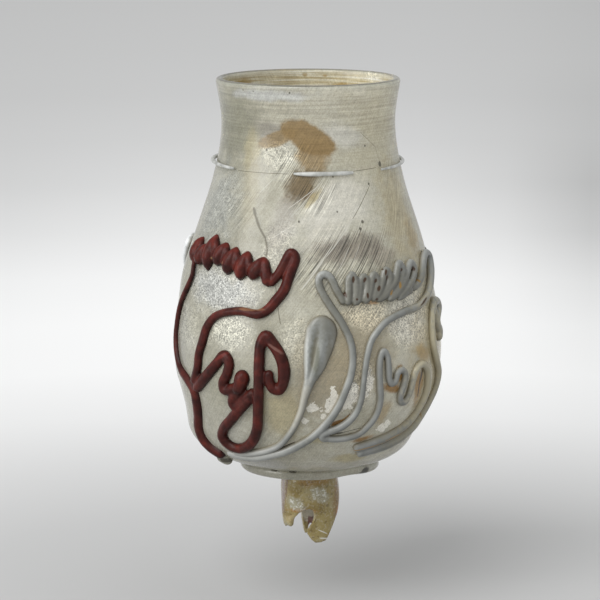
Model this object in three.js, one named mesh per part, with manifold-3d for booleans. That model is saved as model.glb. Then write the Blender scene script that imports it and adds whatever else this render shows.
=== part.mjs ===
// A blown glass goblet whose wall carries looped trails of coloured glass.
// Lengths are in millimetres and angles in degrees. Z points up along the goblet's axis.
// Azimuth 0 is the front (-Y) and grows towards +X. Height 0 is the underside of the foot ring.
import * as THREE from 'three';
import Module from 'manifold-3d';

const wasm = await Module();
wasm.setup();

// Clearance between pieces that were fused hot on the real goblet
const seatGap = 0.3;

// The foot ring, a thick trail wound under the bowl, with one end lapped over the other
const footRing = {
  radius: 21.3, width: 4, height: 3.9, flat: 1.6, lapStart: 50, lapEnd: 84, lapProud: 1.1 };

// The hollow stem knop below the bowl, broken off at its lower edge
const stem = { knopRadius: 9.85, knopHeight: -8, tipRadius: 6.4, tipHeight: -26.4 };
const stemWall = 1.7;
const stemTop = 1.5;
// The broken edge, as [azimuth, height of the lowest glass]
const stemBreak = [
  [-180, -20], [-165, -22.8], [-150, -16], [-120, -15.5], [-105, -17.8], [-90, -20.2], [-60, -19.6],
  [-45, -18], [-30, -15.4], [-15, -13.6], [0, -13.2], [15, -20], [30, -25.6], [45, -26.2], [60, -23.6],
  [75, -19.6], [92, -17], [124, -16.5], [156, -18],
];

// The bowl's outer outline above the foot ring
const bowlFloor = 3.2;
const heel = { radius: 34.2, height: 9.6 };
const lowerBelly = { radius: 41.9, height: 24 };
const belly = { radius: 44.9, height: 44 };
const shoulder = { radius: 39.9, height: 73 };
const upperBody = { radius: 31.9, height: 99 };
const neck = { radius: 29, height: 117 };
const mouth = { radius: 30.9, height: 132.4 };
const bowlWall = 1.8;
const lipWall = 2.5;
const lipDepth = 7;

// Widths of the trails and how far they stand proud of the wall
const redTrail = { width: 3.6, proud: 2.1 };
const whiteTrail = { width: 2.7, proud: 1.7 };
const neckTrail = { width: 1.5, proud: 1.3, height: 104.4 };
const leafTrail = { width: 10.6, tail: 2.4, proud: 2.4 };
const eyeWidth = 4.8;
const drop = { width: 3.4, length: 1, proud: 2, azimuth: -62.5, belowHeel: 1 };

// Where the blade of the leaf is centred
const frontLeaf = { azimuth: 4, height: 56 };

// How far the motifs at the back are turned from those at the front, how much higher the white
// one sits, where the red crest starts, and how far out the red back line may swing
const backRed = { turn: 177, rise: 0 };
const backWhite = { turn: -178, rise: 4.5 };
const crestAtFront = { start: -66, low: 71, high: 82.5, nibs: 6 };
const crestAtBack = { start: -91, low: 69, high: 78, nibs: 9 };
const outlineReach = { front: -80, back: -67 };

// The lengths of the neck's thread that are left, as azimuths where each starts and ends
const threadLengths = { front: [-9, 28], back: [49, 310] };

// Facets: round the bowl and ring, rows up the bowl, round the stem, and steps along a trail,
// which end where the trail has run on or turned this far, and how many are skinned together
const turnSteps = 40;
const bowlRows = 17;
const stemTurnSteps = 24;
const stemRows = 6;
const longStep = 6;
const bendStep = 30;
const stepsTogether = 3;

const toRadians = THREE.MathUtils.degToRad;
const toDegrees = THREE.MathUtils.radToDeg;

// The outline of the wall, from the middle of the floor to the mouth
const wallCurve = new THREE.SplineCurve([
  new THREE.Vector2(0, bowlFloor),
  new THREE.Vector2(stem.knopRadius, bowlFloor),
  new THREE.Vector2(footRing.radius, footRing.height + seatGap),
  ...[heel, lowerBelly, belly, shoulder, upperBody, neck, mouth].map(
    (corner) => new THREE.Vector2(corner.radius, corner.height)),
]);
wallCurve.arcLengthDivisions = 800;
const wallLength = wallCurve.getLength();

// The wall's radius, height and outward direction at a distance up the outline
function wallAt(distance) {
  const share = THREE.MathUtils.clamp(distance / wallLength, 0, 1);
  const point = wallCurve.getPointAt(share);
  const along = wallCurve.getTangentAt(share);
  return { radius: point.x, height: point.y, outward: new THREE.Vector2(along.y, -along.x) };
}

// How far up the outline the wall reaches a height
function distanceAtHeight(height) {
  let low = 0;
  let high = wallLength;
  for (let round = 0; round < 30; round += 1) {
    const middle = (low + high) / 2;
    if (wallAt(middle).height < height) low = middle;
    else high = middle;
  }
  return low;
}

// A point that stands proud of the wall
function onWall(azimuth, distance, proud) {
  const wall = wallAt(distance);
  const radius = wall.radius + wall.outward.x * proud;
  const angle = toRadians(azimuth);
  return new THREE.Vector3(
    radius * Math.sin(angle), -radius * Math.cos(angle), wall.height + wall.outward.y * proud);
}

// Skin a row of closed sections into a solid, with flat ends unless the row closes on itself
function skin(sections, closed = false) {
  const across = sections[0].length;
  const vertices = sections.flat().flatMap((point) => point.toArray());
  const triangles = [];
  const rows = closed ? sections.length : sections.length - 1;
  for (let row = 0; row < rows; row += 1) {
    const here = row * across;
    const next = ((row + 1) % sections.length) * across;
    for (let column = 0; column < across; column += 1) {
      const beside = (column + 1) % across;
      triangles.push(here + column, here + beside, next + beside);
      triangles.push(here + column, next + beside, next + column);
    }
  }
  if (!closed) {
    const last = (sections.length - 1) * across;
    for (let column = 1; column < across - 1; column += 1) {
      triangles.push(0, column + 1, column);
      triangles.push(last, last + column, last + column + 1);
    }
  }
  return new wasm.Manifold(new wasm.Mesh({
    numProp: 3,
    vertProperties: new Float32Array(vertices),
    triVerts: new Uint32Array(triangles),
  }));
}

// Cross sections as [share of the half width, share of the height], base first
const domeSection = [[1, 0], [0.8, 0.7], [0, 1], [-0.8, 0.7], [-1, 0]];
const leafSection = [
  [1, 0], [0.86, 0.7], [0.62, 0.95], [0.3, 0.6], [-0.05, 0.9], [-0.5, 0.62], [-0.85, 0.75], [-1, 0],
];

// A run of glass along marks of { azimuth, distance, side, width, proud }, where side points across
// it. It is skinned a few steps at a time, because a trail may bend back and touch itself.
function run(marks, section, grow) {
  const sections = marks.map((mark) => section.map(([across, rise]) => {
    const offset = across * (mark.width / 2 + grow);
    const turn = toDegrees((mark.side.x * offset) / wallAt(mark.distance).radius);
    const base = grow > 0 ? 0 : seatGap;
    const lift = base + rise * (mark.proud + grow - base);
    return onWall(mark.azimuth + turn, mark.distance + mark.side.y * offset, lift);
  }));
  const pieces = [];
  for (let start = 0; start < sections.length - 1; start += stepsTogether) {
    pieces.push(skin(sections.slice(start, start + stepsTogether + 1)));
  }
  return pieces.reduce((whole, piece) => whole.add(piece));
}

// The mark a little before or after another, drawn in for a round end
function beyond(mark, reach, draw) {
  const forward = new THREE.Vector2(mark.side.y, -mark.side.x).multiplyScalar(reach);
  return {
    ...mark,
    azimuth: mark.azimuth + toDegrees(forward.x / wallAt(mark.distance).radius),
    distance: mark.distance + forward.y,
    width: mark.width * draw,
    proud: seatGap + (mark.proud - seatGap) * Math.sqrt(draw),
  };
}

// Give a run of marks two round ends
function roundEnds(marks) {
  const first = marks[0];
  const last = marks[marks.length - 1];
  return [beyond(first, -0.42 * first.width, 0.55), ...marks, beyond(last, 0.42 * last.width, 0.55)];
}

// Read a value from a list spread evenly along a path
function spread(values, share) {
  const place = share * (values.length - 1);
  const index = Math.min(Math.floor(place), values.length - 2);
  return THREE.MathUtils.lerp(values[index], values[index + 1], place - index);
}

// Marks along a smooth path of [azimuth, height] points, closer together where it bends
function marksAlong(path, widths, proud) {
  const millimetresPerDegree = toRadians(belly.radius);
  const curve = new THREE.CatmullRomCurve3(path.map(([azimuth, height]) => (
    new THREE.Vector3(azimuth * millimetresPerDegree, distanceAtHeight(height), 0))));
  const fineSteps = Math.max(4, Math.ceil(curve.getLength() / 0.6));
  const marks = [];
  for (let index = 0; index <= fineSteps; index += 1) {
    const share = index / fineSteps;
    const point = curve.getPointAt(share);
    const along = curve.getTangentAt(share);
    const shrink = wallAt(point.y).radius / belly.radius;
    const side = new THREE.Vector2(-along.y, along.x * shrink).normalize();
    const azimuth = point.x / millimetresPerDegree;
    const mark = { azimuth, distance: point.y, side, width: spread(widths, share), proud };
    const last = marks[marks.length - 1];
    const gone = last ? unrolled(mark, 0).distanceTo(unrolled(last, 0)) : 0;
    const bent = last ? toDegrees(Math.acos(THREE.MathUtils.clamp(last.side.dot(side), -1, 1))) : 0;
    if (!last || index === fineSteps || gone > longStep || bent > bendStep) marks.push(mark);
  }
  return marks;
}

// Where a mark lies on the unrolled wall, in millimetres
function unrolled(mark, across) {
  const radius = wallAt(mark.distance).radius;
  return new THREE.Vector2(toRadians(mark.azimuth) * radius, mark.distance)
    .addScaledVector(mark.side, across * mark.width / 2);
}

// True where the inner edge of a bend would run backwards between two marks
function folds(here, next) {
  const step = unrolled(next, 0).sub(unrolled(here, 0));
  const forward = step.clone().normalize();
  return [-1.15, 1.15].some((across) => (
    unrolled(next, across).sub(unrolled(here, across)).dot(forward) < 0.12 * step.length()));
}

// A straight link across a bend that is too tight for one run
function link(here, next) {
  const forward = unrolled(next, 0).sub(unrolled(here, 0)).normalize();
  const side = new THREE.Vector2(-forward.y, forward.x);
  return [{ ...here, side }, { ...next, side }];
}

// One stroke of hot glass, split at tight bends and joined again
function stroke({ path, widths, proud, section = domeSection, upright = false }, grow = 0) {
  if (upright) return run(uprightMarks(path, widths, proud), section, grow);
  const marks = marksAlong(path, widths, proud);
  const runs = [[marks[0]]];
  for (let index = 1; index < marks.length; index += 1) {
    const here = marks[index - 1];
    const next = marks[index];
    if (folds(here, next)) {
      runs.push(link(here, next));
      runs.push([next]);
    } else {
      runs[runs.length - 1].push(next);
    }
  }
  return runs
    .filter((marksOfRun) => marksOfRun.length > 1)
    .map((marksOfRun) => run(roundEnds(marksOfRun), section, grow))
    .reduce((whole, piece) => whole.add(piece));
}

// Marks at the points of a path that keep their sections upright
function uprightMarks(path, widths, proud) {
  return path.map(([azimuth, height], index) => ({
    azimuth,
    distance: distanceAtHeight(height),
    side: new THREE.Vector2(0, 1),
    width: spread(widths, index / (path.length - 1)),
    proud,
  }));
}

// The largest body of a solid that a cut has left in pieces
function largestBody(solid) {
  return solid.decompose().reduce((best, body) => (body.volume() > best.volume() ? body : best));
}

function toGeometry(solid) {
  const mesh = solid.getMesh();
  const geometry = new THREE.BufferGeometry();
  geometry.setAttribute('position', new THREE.BufferAttribute(new Float32Array(mesh.vertProperties), 3));
  geometry.setIndex(new THREE.BufferAttribute(new Uint32Array(mesh.triVerts), 1));
  return geometry;
}

function glass(color, roughness, opacity = 1) {
  return new THREE.MeshStandardMaterial({
    color, roughness, metalness: 0, opacity, transparent: opacity < 1, flatShading: true });
}

const clearGlass = glass('#c9c6b4', 0.32, 0.6);
const redGlass = glass('#5e2620', 0.38);
const whiteGlass = glass('#b9bab6', 0.4);

const goblet = new THREE.Group();

function addPiece(name, geometry, material) {
  const mesh = new THREE.Mesh(geometry, material.clone());
  mesh.name = name;
  goblet.add(mesh);
}

// The bowl, one revolved wall with a thickened round lip
function bowlGeometry() {
  const outer = [];
  const inner = [];
  const lipHeight = wallLength - lipWall / 2;
  for (let row = 0; row <= bowlRows; row += 1) {
    const distance = (lipHeight * row) / bowlRows;
    const wall = wallAt(distance);
    const toLip = THREE.MathUtils.smoothstep(distance, lipHeight - lipDepth, lipHeight);
    const thickness = THREE.MathUtils.lerp(bowlWall, lipWall, toLip);
    outer.push(new THREE.Vector2(wall.radius, wall.height));
    inner.push(new THREE.Vector2(
      Math.max(0, wall.radius - wall.outward.x * thickness), wall.height - wall.outward.y * thickness));
  }
  const lipCentre = outer[bowlRows].clone().lerp(inner[bowlRows], 0.5);
  const lipSteps = 4;
  const lip = [];
  for (let step = 1; step < lipSteps; step += 1) {
    const start = outer[bowlRows].clone().sub(lipCentre);
    lip.push(start.rotateAround(new THREE.Vector2(), (Math.PI * step) / lipSteps).add(lipCentre));
  }
  const outline = [...outer, ...lip, ...inner.reverse()];
  return new THREE.LatheGeometry(outline, turnSteps).rotateX(Math.PI / 2);
}
addPiece('bowl', bowlGeometry(), clearGlass);

// The foot ring, with a flat underside and a blunt lapped end at the right
function footRingSolid() {
  const halfWidth = footRing.width / 2;
  const halfFlat = footRing.flat / 2;
  const outline = [
    [halfFlat, 0], [-halfFlat, 0], [-0.9 * halfWidth, 0.23 * footRing.height],
    [-halfWidth, 0.5 * footRing.height], [-0.75 * halfWidth, 0.84 * footRing.height],
    [0, footRing.height], [0.75 * halfWidth, 0.8 * footRing.height],
    [halfWidth, 0.5 * footRing.height], [0.9 * halfWidth, 0.23 * footRing.height],
  ];
  const sectionAt = (azimuth, outset, draw) => outline.map(([across, height]) => {
    const radius = footRing.radius + outset + across * draw;
    const middle = footRing.height / 2;
    const angle = toRadians(azimuth);
    return new THREE.Vector3(
      radius * Math.sin(angle), -radius * Math.cos(angle), middle + (height - middle) * draw);
  });
  const turn = Array.from({ length: turnSteps }, (_, step) => sectionAt((360 * step) / turnSteps, 0, 1));
  const lapSteps = 6;
  const lap = Array.from({ length: lapSteps + 1 }, (_, step) => {
    const share = step / lapSteps;
    const azimuth = THREE.MathUtils.lerp(footRing.lapStart, footRing.lapEnd, share);
    return sectionAt(azimuth, footRing.lapProud * Math.sin((share * Math.PI) / 2), 0.86);
  });
  return skin(turn, true).add(skin(lap));
}
addPiece('foot_ring', toGeometry(footRingSolid()), clearGlass);

// The height of the stem's broken edge at an azimuth
function breakHeight(azimuth) {
  const corners = [...stemBreak, [stemBreak[0][0] + 360, stemBreak[0][1]]];
  const next = corners.findIndex(([corner]) => corner > azimuth);
  const [startAzimuth, startHeight] = corners[Math.max(next, 1) - 1];
  const [endAzimuth, endHeight] = corners[Math.max(next, 1)];
  const share = (azimuth - startAzimuth) / (endAzimuth - startAzimuth);
  return THREE.MathUtils.lerp(startHeight, endHeight, THREE.MathUtils.clamp(share, 0, 1));
}

// The knop swells to its widest and draws in above and below
function stemRadius(height) {
  const share = (height - stem.knopHeight) / (stem.tipHeight - stem.knopHeight);
  return THREE.MathUtils.lerp(stem.knopRadius, stem.tipRadius, share * share);
}

// The stem, a blown shell closed at the top, with a ragged lower edge
function stemSolid() {
  const topHeight = bowlFloor - seatGap;
  const ring = (top, inset, share) => Array.from({ length: stemTurnSteps }, (_, step) => {
    const azimuth = (360 * step) / stemTurnSteps - 180;
    const height = THREE.MathUtils.lerp(top, breakHeight(azimuth), share);
    const radius = stemRadius(height) - inset;
    const angle = toRadians(azimuth);
    return new THREE.Vector3(radius * Math.sin(angle), -radius * Math.cos(angle), height);
  });
  const shares = Array.from({ length: stemRows + 1 }, (_, row) => row / stemRows);
  const inside = shares.map((share) => ring(topHeight - stemTop, stemWall, share));
  const outside = shares.map((share) => ring(topHeight, 0, share)).reverse();
  return skin([...inside, ...outside]);
}
addPiece('stem', toGeometry(stemSolid()), clearGlass);

// A crest pinched into nibs: its upright band swings up and down between two slanting lines
function crestStroke(low, high, nibs, proud) {
  const bandShare = 0.64;
  const path = Array.from({ length: 2 * nibs + 1 }, (_, index) => {
    const along = index / (2 * nibs);
    const up = index % 2 === 0 ? bandShare / 2 : 1 - bandShare / 2;
    const [azimuth, height] = [0, 1].map((axis) => THREE.MathUtils.lerp(
      THREE.MathUtils.lerp(low[0][axis], low[1][axis], along),
      THREE.MathUtils.lerp(high[0][axis], high[1][axis], along), up));
    return [azimuth, height];
  });
  const widths = [high[0][1] - low[0][1], high[1][1] - low[1][1]].map((rise) => bandShare * rise);
  return { path, widths, proud, upright: true };
}

// The strokes of a red motif: back line, crest, brow, zigzag with its eye, and scroll
const redStrokes = (crest, reach) => ({
  crest_trail: [crestStroke(
    [[crest.start, crest.low], [-19, 67.5]], [[crest.start, crest.high], [-19, 76.5]],
    crest.nibs, redTrail.proud)],
  outline_trail: [{
    path: [
      [-68, 70], [-71, 64], [-77, 58], [-80, 52], [-79, 46], [-76, 41], [-71, 36.5], [-65, 33],
      [-61, 29], [-61, 24], [-64, 18.5], [-63, 14.5], [-57, 11.6], [-50, 10.4],
    ].map(([azimuth, height]) => [Math.max(azimuth, reach), height]),
    widths: [0.5, 0.5, 0.5, 0.55, 0.7, 0.95, 1, 0.9].map((share) => share * redTrail.width),
    proud: redTrail.proud,
  }],
  brow_trail: [{
    path: [
      [-18, 68.5], [-14, 72], [-10, 76], [-7, 79], [-4.5, 77.5], [-6.5, 73], [-10, 67], [-14.5, 63],
      [-20, 60], [-30, 60], [-38, 59.2], [-44, 57], [-48, 53], [-51, 48], [-52.5, 42], [-55, 36]],
    widths: [0.85, 1, 1, 0.9, 0.75, 0.95, 1, 1].map((share) => share * redTrail.width),
    proud: redTrail.proud,
  }],
  zigzag_trail: [
    {
      path: [
        [-58, 32.2], [-52, 34.6], [-45, 39.5], [-40, 43.8], [-36.4, 45.6], [-34.6, 42.5], [-35.6, 38.5],
        [-37, 35.4], [-33, 33.6], [-29.4, 36.4]],
      widths: [redTrail.width, redTrail.width],
      proud: redTrail.proud,
    },
    { path: [[-28.4, 37.8], [-28, 36.9]], widths: [eyeWidth, eyeWidth], proud: 1.15 * redTrail.proud },
    {
      path: [[-34, 32.8], [-30, 32], [-26, 33.4]],
      widths: [1, 0.85].map((share) => share * redTrail.width),
      proud: redTrail.proud,
    },
  ],
  scroll_trail: [{
    path: [
      [-24, 32.6], [-29, 28.5], [-35, 24], [-40, 20], [-42, 17.2], [-39, 14.6], [-33, 14.6], [-27, 17.4],
      [-23.5, 22.5], [-21.5, 29], [-20, 37], [-20, 45], [-19.5, 50.4], [-17, 52.4], [-14, 50], [-11.5, 46],
      [-10, 42], [-10, 38.4], [-12, 36.2], [-14.6, 37.2], [-15, 40]],
    widths: [1, 1.05, 1.05, 1, 1, 1.05, 1.15, 0.8].map((share) => share * redTrail.width),
    proud: 1.1 * redTrail.proud,
  }],
});

// The strokes of a white motif: cheek with its ear, crest, brow, zigzag, back line and leaf
const whiteStrokes = {
  crest_trail: [crestStroke([[17, 61], [53, 63.5]], [[17, 72.6], [58, 74.4]], 6, whiteTrail.proud)],
  cheek_trail: [{
    path: [
      [-44, 11.2], [-36, 11.2], [-27, 11.6], [-16, 13.1], [-8, 15], [-2, 17.5], [5, 21], [10, 26], [14, 32],
      [17, 38], [18.5, 44], [18, 50], [15, 55.5], [11, 60.5], [7.5, 65], [5, 69], [5.5, 72], [8.5, 72.6],
      [11, 69.5], [13.5, 66]],
    widths: [0.45, 0.9, 1, 1, 1.1, 1.1, 1, 1.05, 1].map((share) => share * whiteTrail.width),
    proud: whiteTrail.proud,
  }],
  brow_trail: [{
    path: [
      [56, 66], [61, 68.5], [66, 71.5], [71, 75], [76, 76.4], [79, 73], [76, 68], [70, 64],
      [62, 60.8], [52, 58.6], [42, 57.6], [34, 55.5], [28.5, 51.5], [25.5, 46], [24.5, 40],
      [23, 33.5], [21, 28], [17, 23.4], [12, 21]],
    widths: [1, 1, 0.9, 0.7, 0.65, 0.8, 0.95, 1].map((share) => share * whiteTrail.width),
    proud: whiteTrail.proud,
  }],
  zigzag_trail: [{
    path: [
      [6, 17.8], [13, 17.6], [21, 18.6], [27, 21.4], [31, 26], [32, 32], [31, 38], [30.8, 44], [32.5, 47.2],
      [34.5, 44], [35.5, 39], [37.5, 36], [39.5, 39], [41.8, 41.2], [44, 38.5], [43.8, 34], [44.8, 29.6],
      [47.4, 29.4], [48.8, 34], [51.5, 39.4], [56, 41.2], [60, 38], [61, 32.5], [59.5, 27.5], [55, 22.6],
      [48, 19.2], [40, 17], [31, 15.4], [25, 14.6]],
    widths: [whiteTrail.width, whiteTrail.width],
    proud: whiteTrail.proud,
  }],
  outline_trail: [{
    path: [
      [69.5, 57], [67.6, 53.4], [66, 48], [67.5, 41], [70, 34.5], [71, 28.5], [69, 23], [63, 18.2],
      [54, 14.6], [44, 12.6], [33, 11.4]],
    widths: [0.8, 1, 1, 1, 1.1, 1.2, 1.3].map((share) => share * whiteTrail.width),
    proud: whiteTrail.proud,
  }],
};

// A flattened leaf-shaped drop drawn out into a tail, as a stroke whose blade widens above its tail
function leafStrokes({ azimuth, height }, tail) {
  const blade = [[-3, -17], [-1, -12], [1.5, -5], [2.5, 0]];
  const shares = [0.3, 0.6, 1, 0.95];
  return [{
    path: [...tail, ...blade.map(([turn, rise]) => [azimuth + turn, height + rise])],
    widths: [...tail.map(() => leafTrail.tail), ...shares.map((share) => share * leafTrail.width)],
    proud: leafTrail.proud,
    section: leafSection,
  }];
}

// Every trail in the order in which it was laid, each cut clear of those before it
const laidTrails = [];

function addTrail(name, strokes, material) {
  const build = (grow) => strokes
    .map((part) => stroke(part, grow))
    .reduce((whole, part) => whole.add(part));
  const reach = build(0).boundingBox();
  const meets = ({ box }) => [0, 1, 2].every((axis) => (
    box.max[axis] + seatGap > reach.min[axis] && reach.max[axis] + seatGap > box.min[axis]));
  const solid = laidTrails.filter(meets).reduce((left, laid) => left.subtract(laid.grown), build(0));
  laidTrails.push({ grown: build(seatGap), box: reach });
  addPiece(name, toGeometry(largestBody(solid)), material);
}

// Turn every stroke of a motif round the axis and lift it
function moved(strokes, { turn, rise }) {
  return strokes.map((part) => ({
    ...part, path: part.path.map(([azimuth, height]) => [azimuth + turn, height + rise]) }));
}

// The four motifs round the bowl, red and white in turn
const frontRed = redStrokes(crestAtFront, outlineReach.front);
const farRed = redStrokes(crestAtBack, outlineReach.back);
const atFront = { turn: 0, rise: 0 };
const motifs = [
  { place: 'front_left', colour: 'red', strokes: frontRed, move: atFront, material: redGlass },
  { place: 'front_right', colour: 'white', strokes: whiteStrokes, move: atFront, material: whiteGlass },
  { place: 'back_right', colour: 'red', strokes: farRed, move: backRed, material: redGlass },
  { place: 'back_left', colour: 'white', strokes: whiteStrokes, move: backWhite, material: whiteGlass },
];
for (const motif of motifs) {
  for (const [trail, strokes] of Object.entries(motif.strokes)) {
    addTrail(`${motif.colour}_${trail}_${motif.place}`, moved(strokes, motif.move), motif.material);
  }
}

const frontTail = [[-26, 15.2], [-17, 16.6], [-10, 20.5], [-5.5, 25], [-2.5, 31]];
addTrail('leaf_front', leafStrokes(frontLeaf, frontTail), whiteGlass);

// The hooked end of white thread above the outline at the right, which hangs down into a drop
addTrail('leaf_right', [{
  path: [
    [72.4, 58.6], [75, 59.8], [78.4, 59.2], [80.6, 56.8], [78.6, 54.2], [76.4, 51.8], [77, 49.4],
    [75, 46.4]],
  widths: [0.9, 1, 1, 0.95, 1, 1.45, 1.6, 1].map((share) => share * whiteTrail.width),
  proud: 1.1 * whiteTrail.proud,
}], whiteGlass);

// The clear drop left on the wall just below the heel
const dropHeight = heel.height - drop.belowHeel;
addTrail('clear_drop', [{
  path: [[drop.azimuth, dropHeight], [drop.azimuth + drop.length, dropHeight - drop.length / 2]],
  widths: [drop.width, drop.width],
  proud: drop.proud,
}], clearGlass);

// The thin thread round the neck, worn away in two places at the front
for (const [place, [start, end]] of Object.entries(threadLengths)) {
  const points = 6;
  const path = Array.from({ length: points + 1 }, (_, index) => (
    [THREE.MathUtils.lerp(start, end, index / points), neckTrail.height]));
  const widths = [neckTrail.width, neckTrail.width];
  addTrail(`neck_thread_${place}`, [{ path, widths, proud: neckTrail.proud }], whiteGlass);
}

export default goblet;
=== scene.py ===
# A blown glass goblet with looped trails of red and white glass.
# Sizes are in millimetres until a mesh is made, and azimuths are in degrees: 0 is the front (-Y),
# and they grow towards +X. Height 0 is the underside of the foot ring.
import math
import bpy
import numpy as np
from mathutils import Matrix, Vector


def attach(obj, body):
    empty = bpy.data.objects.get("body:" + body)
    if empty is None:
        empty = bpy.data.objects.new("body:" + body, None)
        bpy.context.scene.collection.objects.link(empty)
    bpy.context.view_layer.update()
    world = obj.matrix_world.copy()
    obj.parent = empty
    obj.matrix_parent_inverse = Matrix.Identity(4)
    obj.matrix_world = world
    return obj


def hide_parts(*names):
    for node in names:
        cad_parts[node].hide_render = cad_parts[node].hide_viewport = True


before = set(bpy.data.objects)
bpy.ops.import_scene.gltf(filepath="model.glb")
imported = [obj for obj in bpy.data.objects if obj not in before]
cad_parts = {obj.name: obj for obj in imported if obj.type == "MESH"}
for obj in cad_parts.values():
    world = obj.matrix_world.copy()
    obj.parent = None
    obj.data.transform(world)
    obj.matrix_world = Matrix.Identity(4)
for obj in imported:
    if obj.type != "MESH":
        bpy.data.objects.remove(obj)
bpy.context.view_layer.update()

MM = 0.001

# The camera looks at the goblet from the front and a little above, from about a metre away,
# through a long lens.
view_target = Vector((-2.7, 0, 57.2)) * MM
view_distance = 1011 * MM
view_elevation = math.radians(9.7)
lens = bpy.data.cameras.new("camera")
lens.lens = 180
lens.sensor_width = 36
lens.clip_end = 100
camera = bpy.data.objects.new("camera", lens)
camera.location = view_target + view_distance * Vector(
    (0, -math.cos(view_elevation), math.sin(view_elevation)))
camera.rotation_euler = (math.radians(90) - view_elevation, 0, 0)
bpy.context.scene.collection.objects.link(camera)
bpy.context.scene.camera = camera
bpy.context.scene.view_settings.view_transform = "Standard"


# The floor is a wide sheet of pale paper whose colour carries painted light: it is brightest in a ring
# behind and around the goblet and falls off to grey further out, where it stands for the backdrop too.
def feed(node, feeds):
    """Feeds a node's inputs, by name or by number, with values or other sockets."""
    for key, value in feeds.items():
        if isinstance(value, bpy.types.NodeSocket):
            node.id_data.links.new(value, node.inputs[key])
        else:
            node.inputs[key].default_value = value


def put(tree, kind, feeds=None, **settings):
    """Adds a node with its settings and feeds."""
    node = tree.nodes.new(kind)
    for name, value in settings.items():
        setattr(node, name, value)
    feed(node, feeds or {})
    return node


def calc(tree, operation, *values, clamp=False):
    node = put(tree, "ShaderNodeMath", dict(enumerate(values)), operation=operation, use_clamp=clamp)
    return node.outputs[0]


def vector(tree, operation, *values):
    """A vector node's result, which is a number where the operation gives one."""
    feeds = {0: values[0], "Scale": values[1]} if operation == "SCALE" else dict(enumerate(values))
    node = put(tree, "ShaderNodeVectorMath", feeds, operation=operation)
    return node.outputs["Value" if operation in ("LENGTH", "DISTANCE", "DOT_PRODUCT") else "Vector"]


def axes(tree, point):
    """The three parts of a vector."""
    return put(tree, "ShaderNodeSeparateXYZ", {0: point}).outputs


def paint(red, green, blue):
    """A colour as it looks on a screen, from 0 to 255, as the shaders need it."""
    shares = [channel / 255 for channel in (red, green, blue)]
    return [s / 12.92 if s <= 0.04045 else ((s + 0.055) / 1.055) ** 2.4 for s in shares] + [1]


def ramp(tree, factor, stops):
    node = put(tree, "ShaderNodeValToRGB", {0: factor})
    while len(node.color_ramp.elements) < len(stops):
        node.color_ramp.elements.new(1)
    for element, (place, colour) in zip(node.color_ramp.elements, stops):
        element.position = place
        element.color = colour
    return node.outputs[0]


def share_ramp(tree, factor, stops):
    """A share that changes over a factor."""
    return ramp(tree, factor, [(place, [share] * 3 + [1]) for place, share in stops])


def new_material(name):
    material = bpy.data.materials.new(name)
    material.use_nodes = True
    return material, material.node_tree, material.node_tree.nodes["Principled BSDF"]


def new_piece(name, points, faces, edges=()):
    """A mesh object from points in metres."""
    mesh = bpy.data.meshes.new(name)
    mesh.from_pydata([tuple(point) for point in points], list(edges), list(faces))
    mesh.update()
    piece = bpy.data.objects.new(name, mesh)
    bpy.context.scene.collection.objects.link(piece)
    return piece


floor_height = -45 * MM
floor_radius = 7.0
floor_sides = 96
floor_reach = 3.0
floor_tones = [
    (0.004, 193), (0.066, 197), (0.137, 204), (0.216, 220), (0.306, 239), (0.411, 251), (0.534, 253),
    (0.68, 249), (0.854, 236), (1.07, 222), (1.34, 211), (1.69, 203), (2.15, 199), (2.8, 196),
]
floor_corners = [
    (floor_radius * math.sin(turn), floor_radius * math.cos(turn), floor_height)
    for turn in np.linspace(0, 2 * math.pi, floor_sides, endpoint=False)]
floor = new_piece("floor", floor_corners, [range(floor_sides - 1, -1, -1)])
paper, tree, shader = new_material("pale_paper")
place = put(tree, "ShaderNodeTexCoord").outputs["Object"]
outward = vector(tree, "LENGTH", place)
tone = ramp(tree, calc(tree, "DIVIDE", outward, floor_reach),
            [(reach / floor_reach, paint(grey, grey, grey)) for reach, grey in floor_tones])
# Painted shade: the paper is darker towards both sides in the middle distance, most at the right
sides = axes(tree, place)
aside = calc(tree, "DIVIDE", sides[0], calc(tree, "ADD", sides[1], 1.0))
dimmer = share_ramp(tree, calc(tree, "MULTIPLY_ADD", aside, 5.0, 0.5), [
    (0, 0.32), (0.25, 0.07), (0.45, 0), (0.7, 0.04), (0.84, 0.36), (0.98, 1)])
depth = share_ramp(tree, calc(tree, "DIVIDE", outward, floor_reach), [
    (0.03, 0), (0.11, 0.06), (0.18, 0.14), (0.29, 0.29), (0.37, 0.29), (0.46, 0.17), (0.7, 0.08)])
kept = calc(tree, "SUBTRACT", 1.0, calc(tree, "MULTIPLY", dimmer, depth))
feed(shader, {"Base Color": vector(tree, "SCALE", tone, kept), "Roughness": 0.9, "Specular IOR Level": 0.0})
floor.data.materials.append(paper)

# The light is an even white room. A broad soft lamp, high at the front left, lays a faint shadow to
# the right, and a weaker one low at the left models the threads.
room = bpy.data.worlds.new("room")
room.use_nodes = True
feed(room.node_tree.nodes["Background"], {"Color": paint(202, 203, 203), "Strength": 1.0})
bpy.context.scene.world = room
for lamp_name, energy, spread, from_top, aside in (
        ("soft_lamp", 1.5, 41, 45, -34), ("side_lamp", 0.75, 30, 77, -62)):
    lamp = bpy.data.lights.new(lamp_name, "SUN")
    lamp.energy = energy
    lamp.angle = math.radians(spread)
    lamp_stand = bpy.data.objects.new(lamp_name, lamp)
    lamp_stand.rotation_euler = (math.radians(from_top), 0, math.radians(aside))
    bpy.context.scene.collection.objects.link(lamp_stand)


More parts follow.
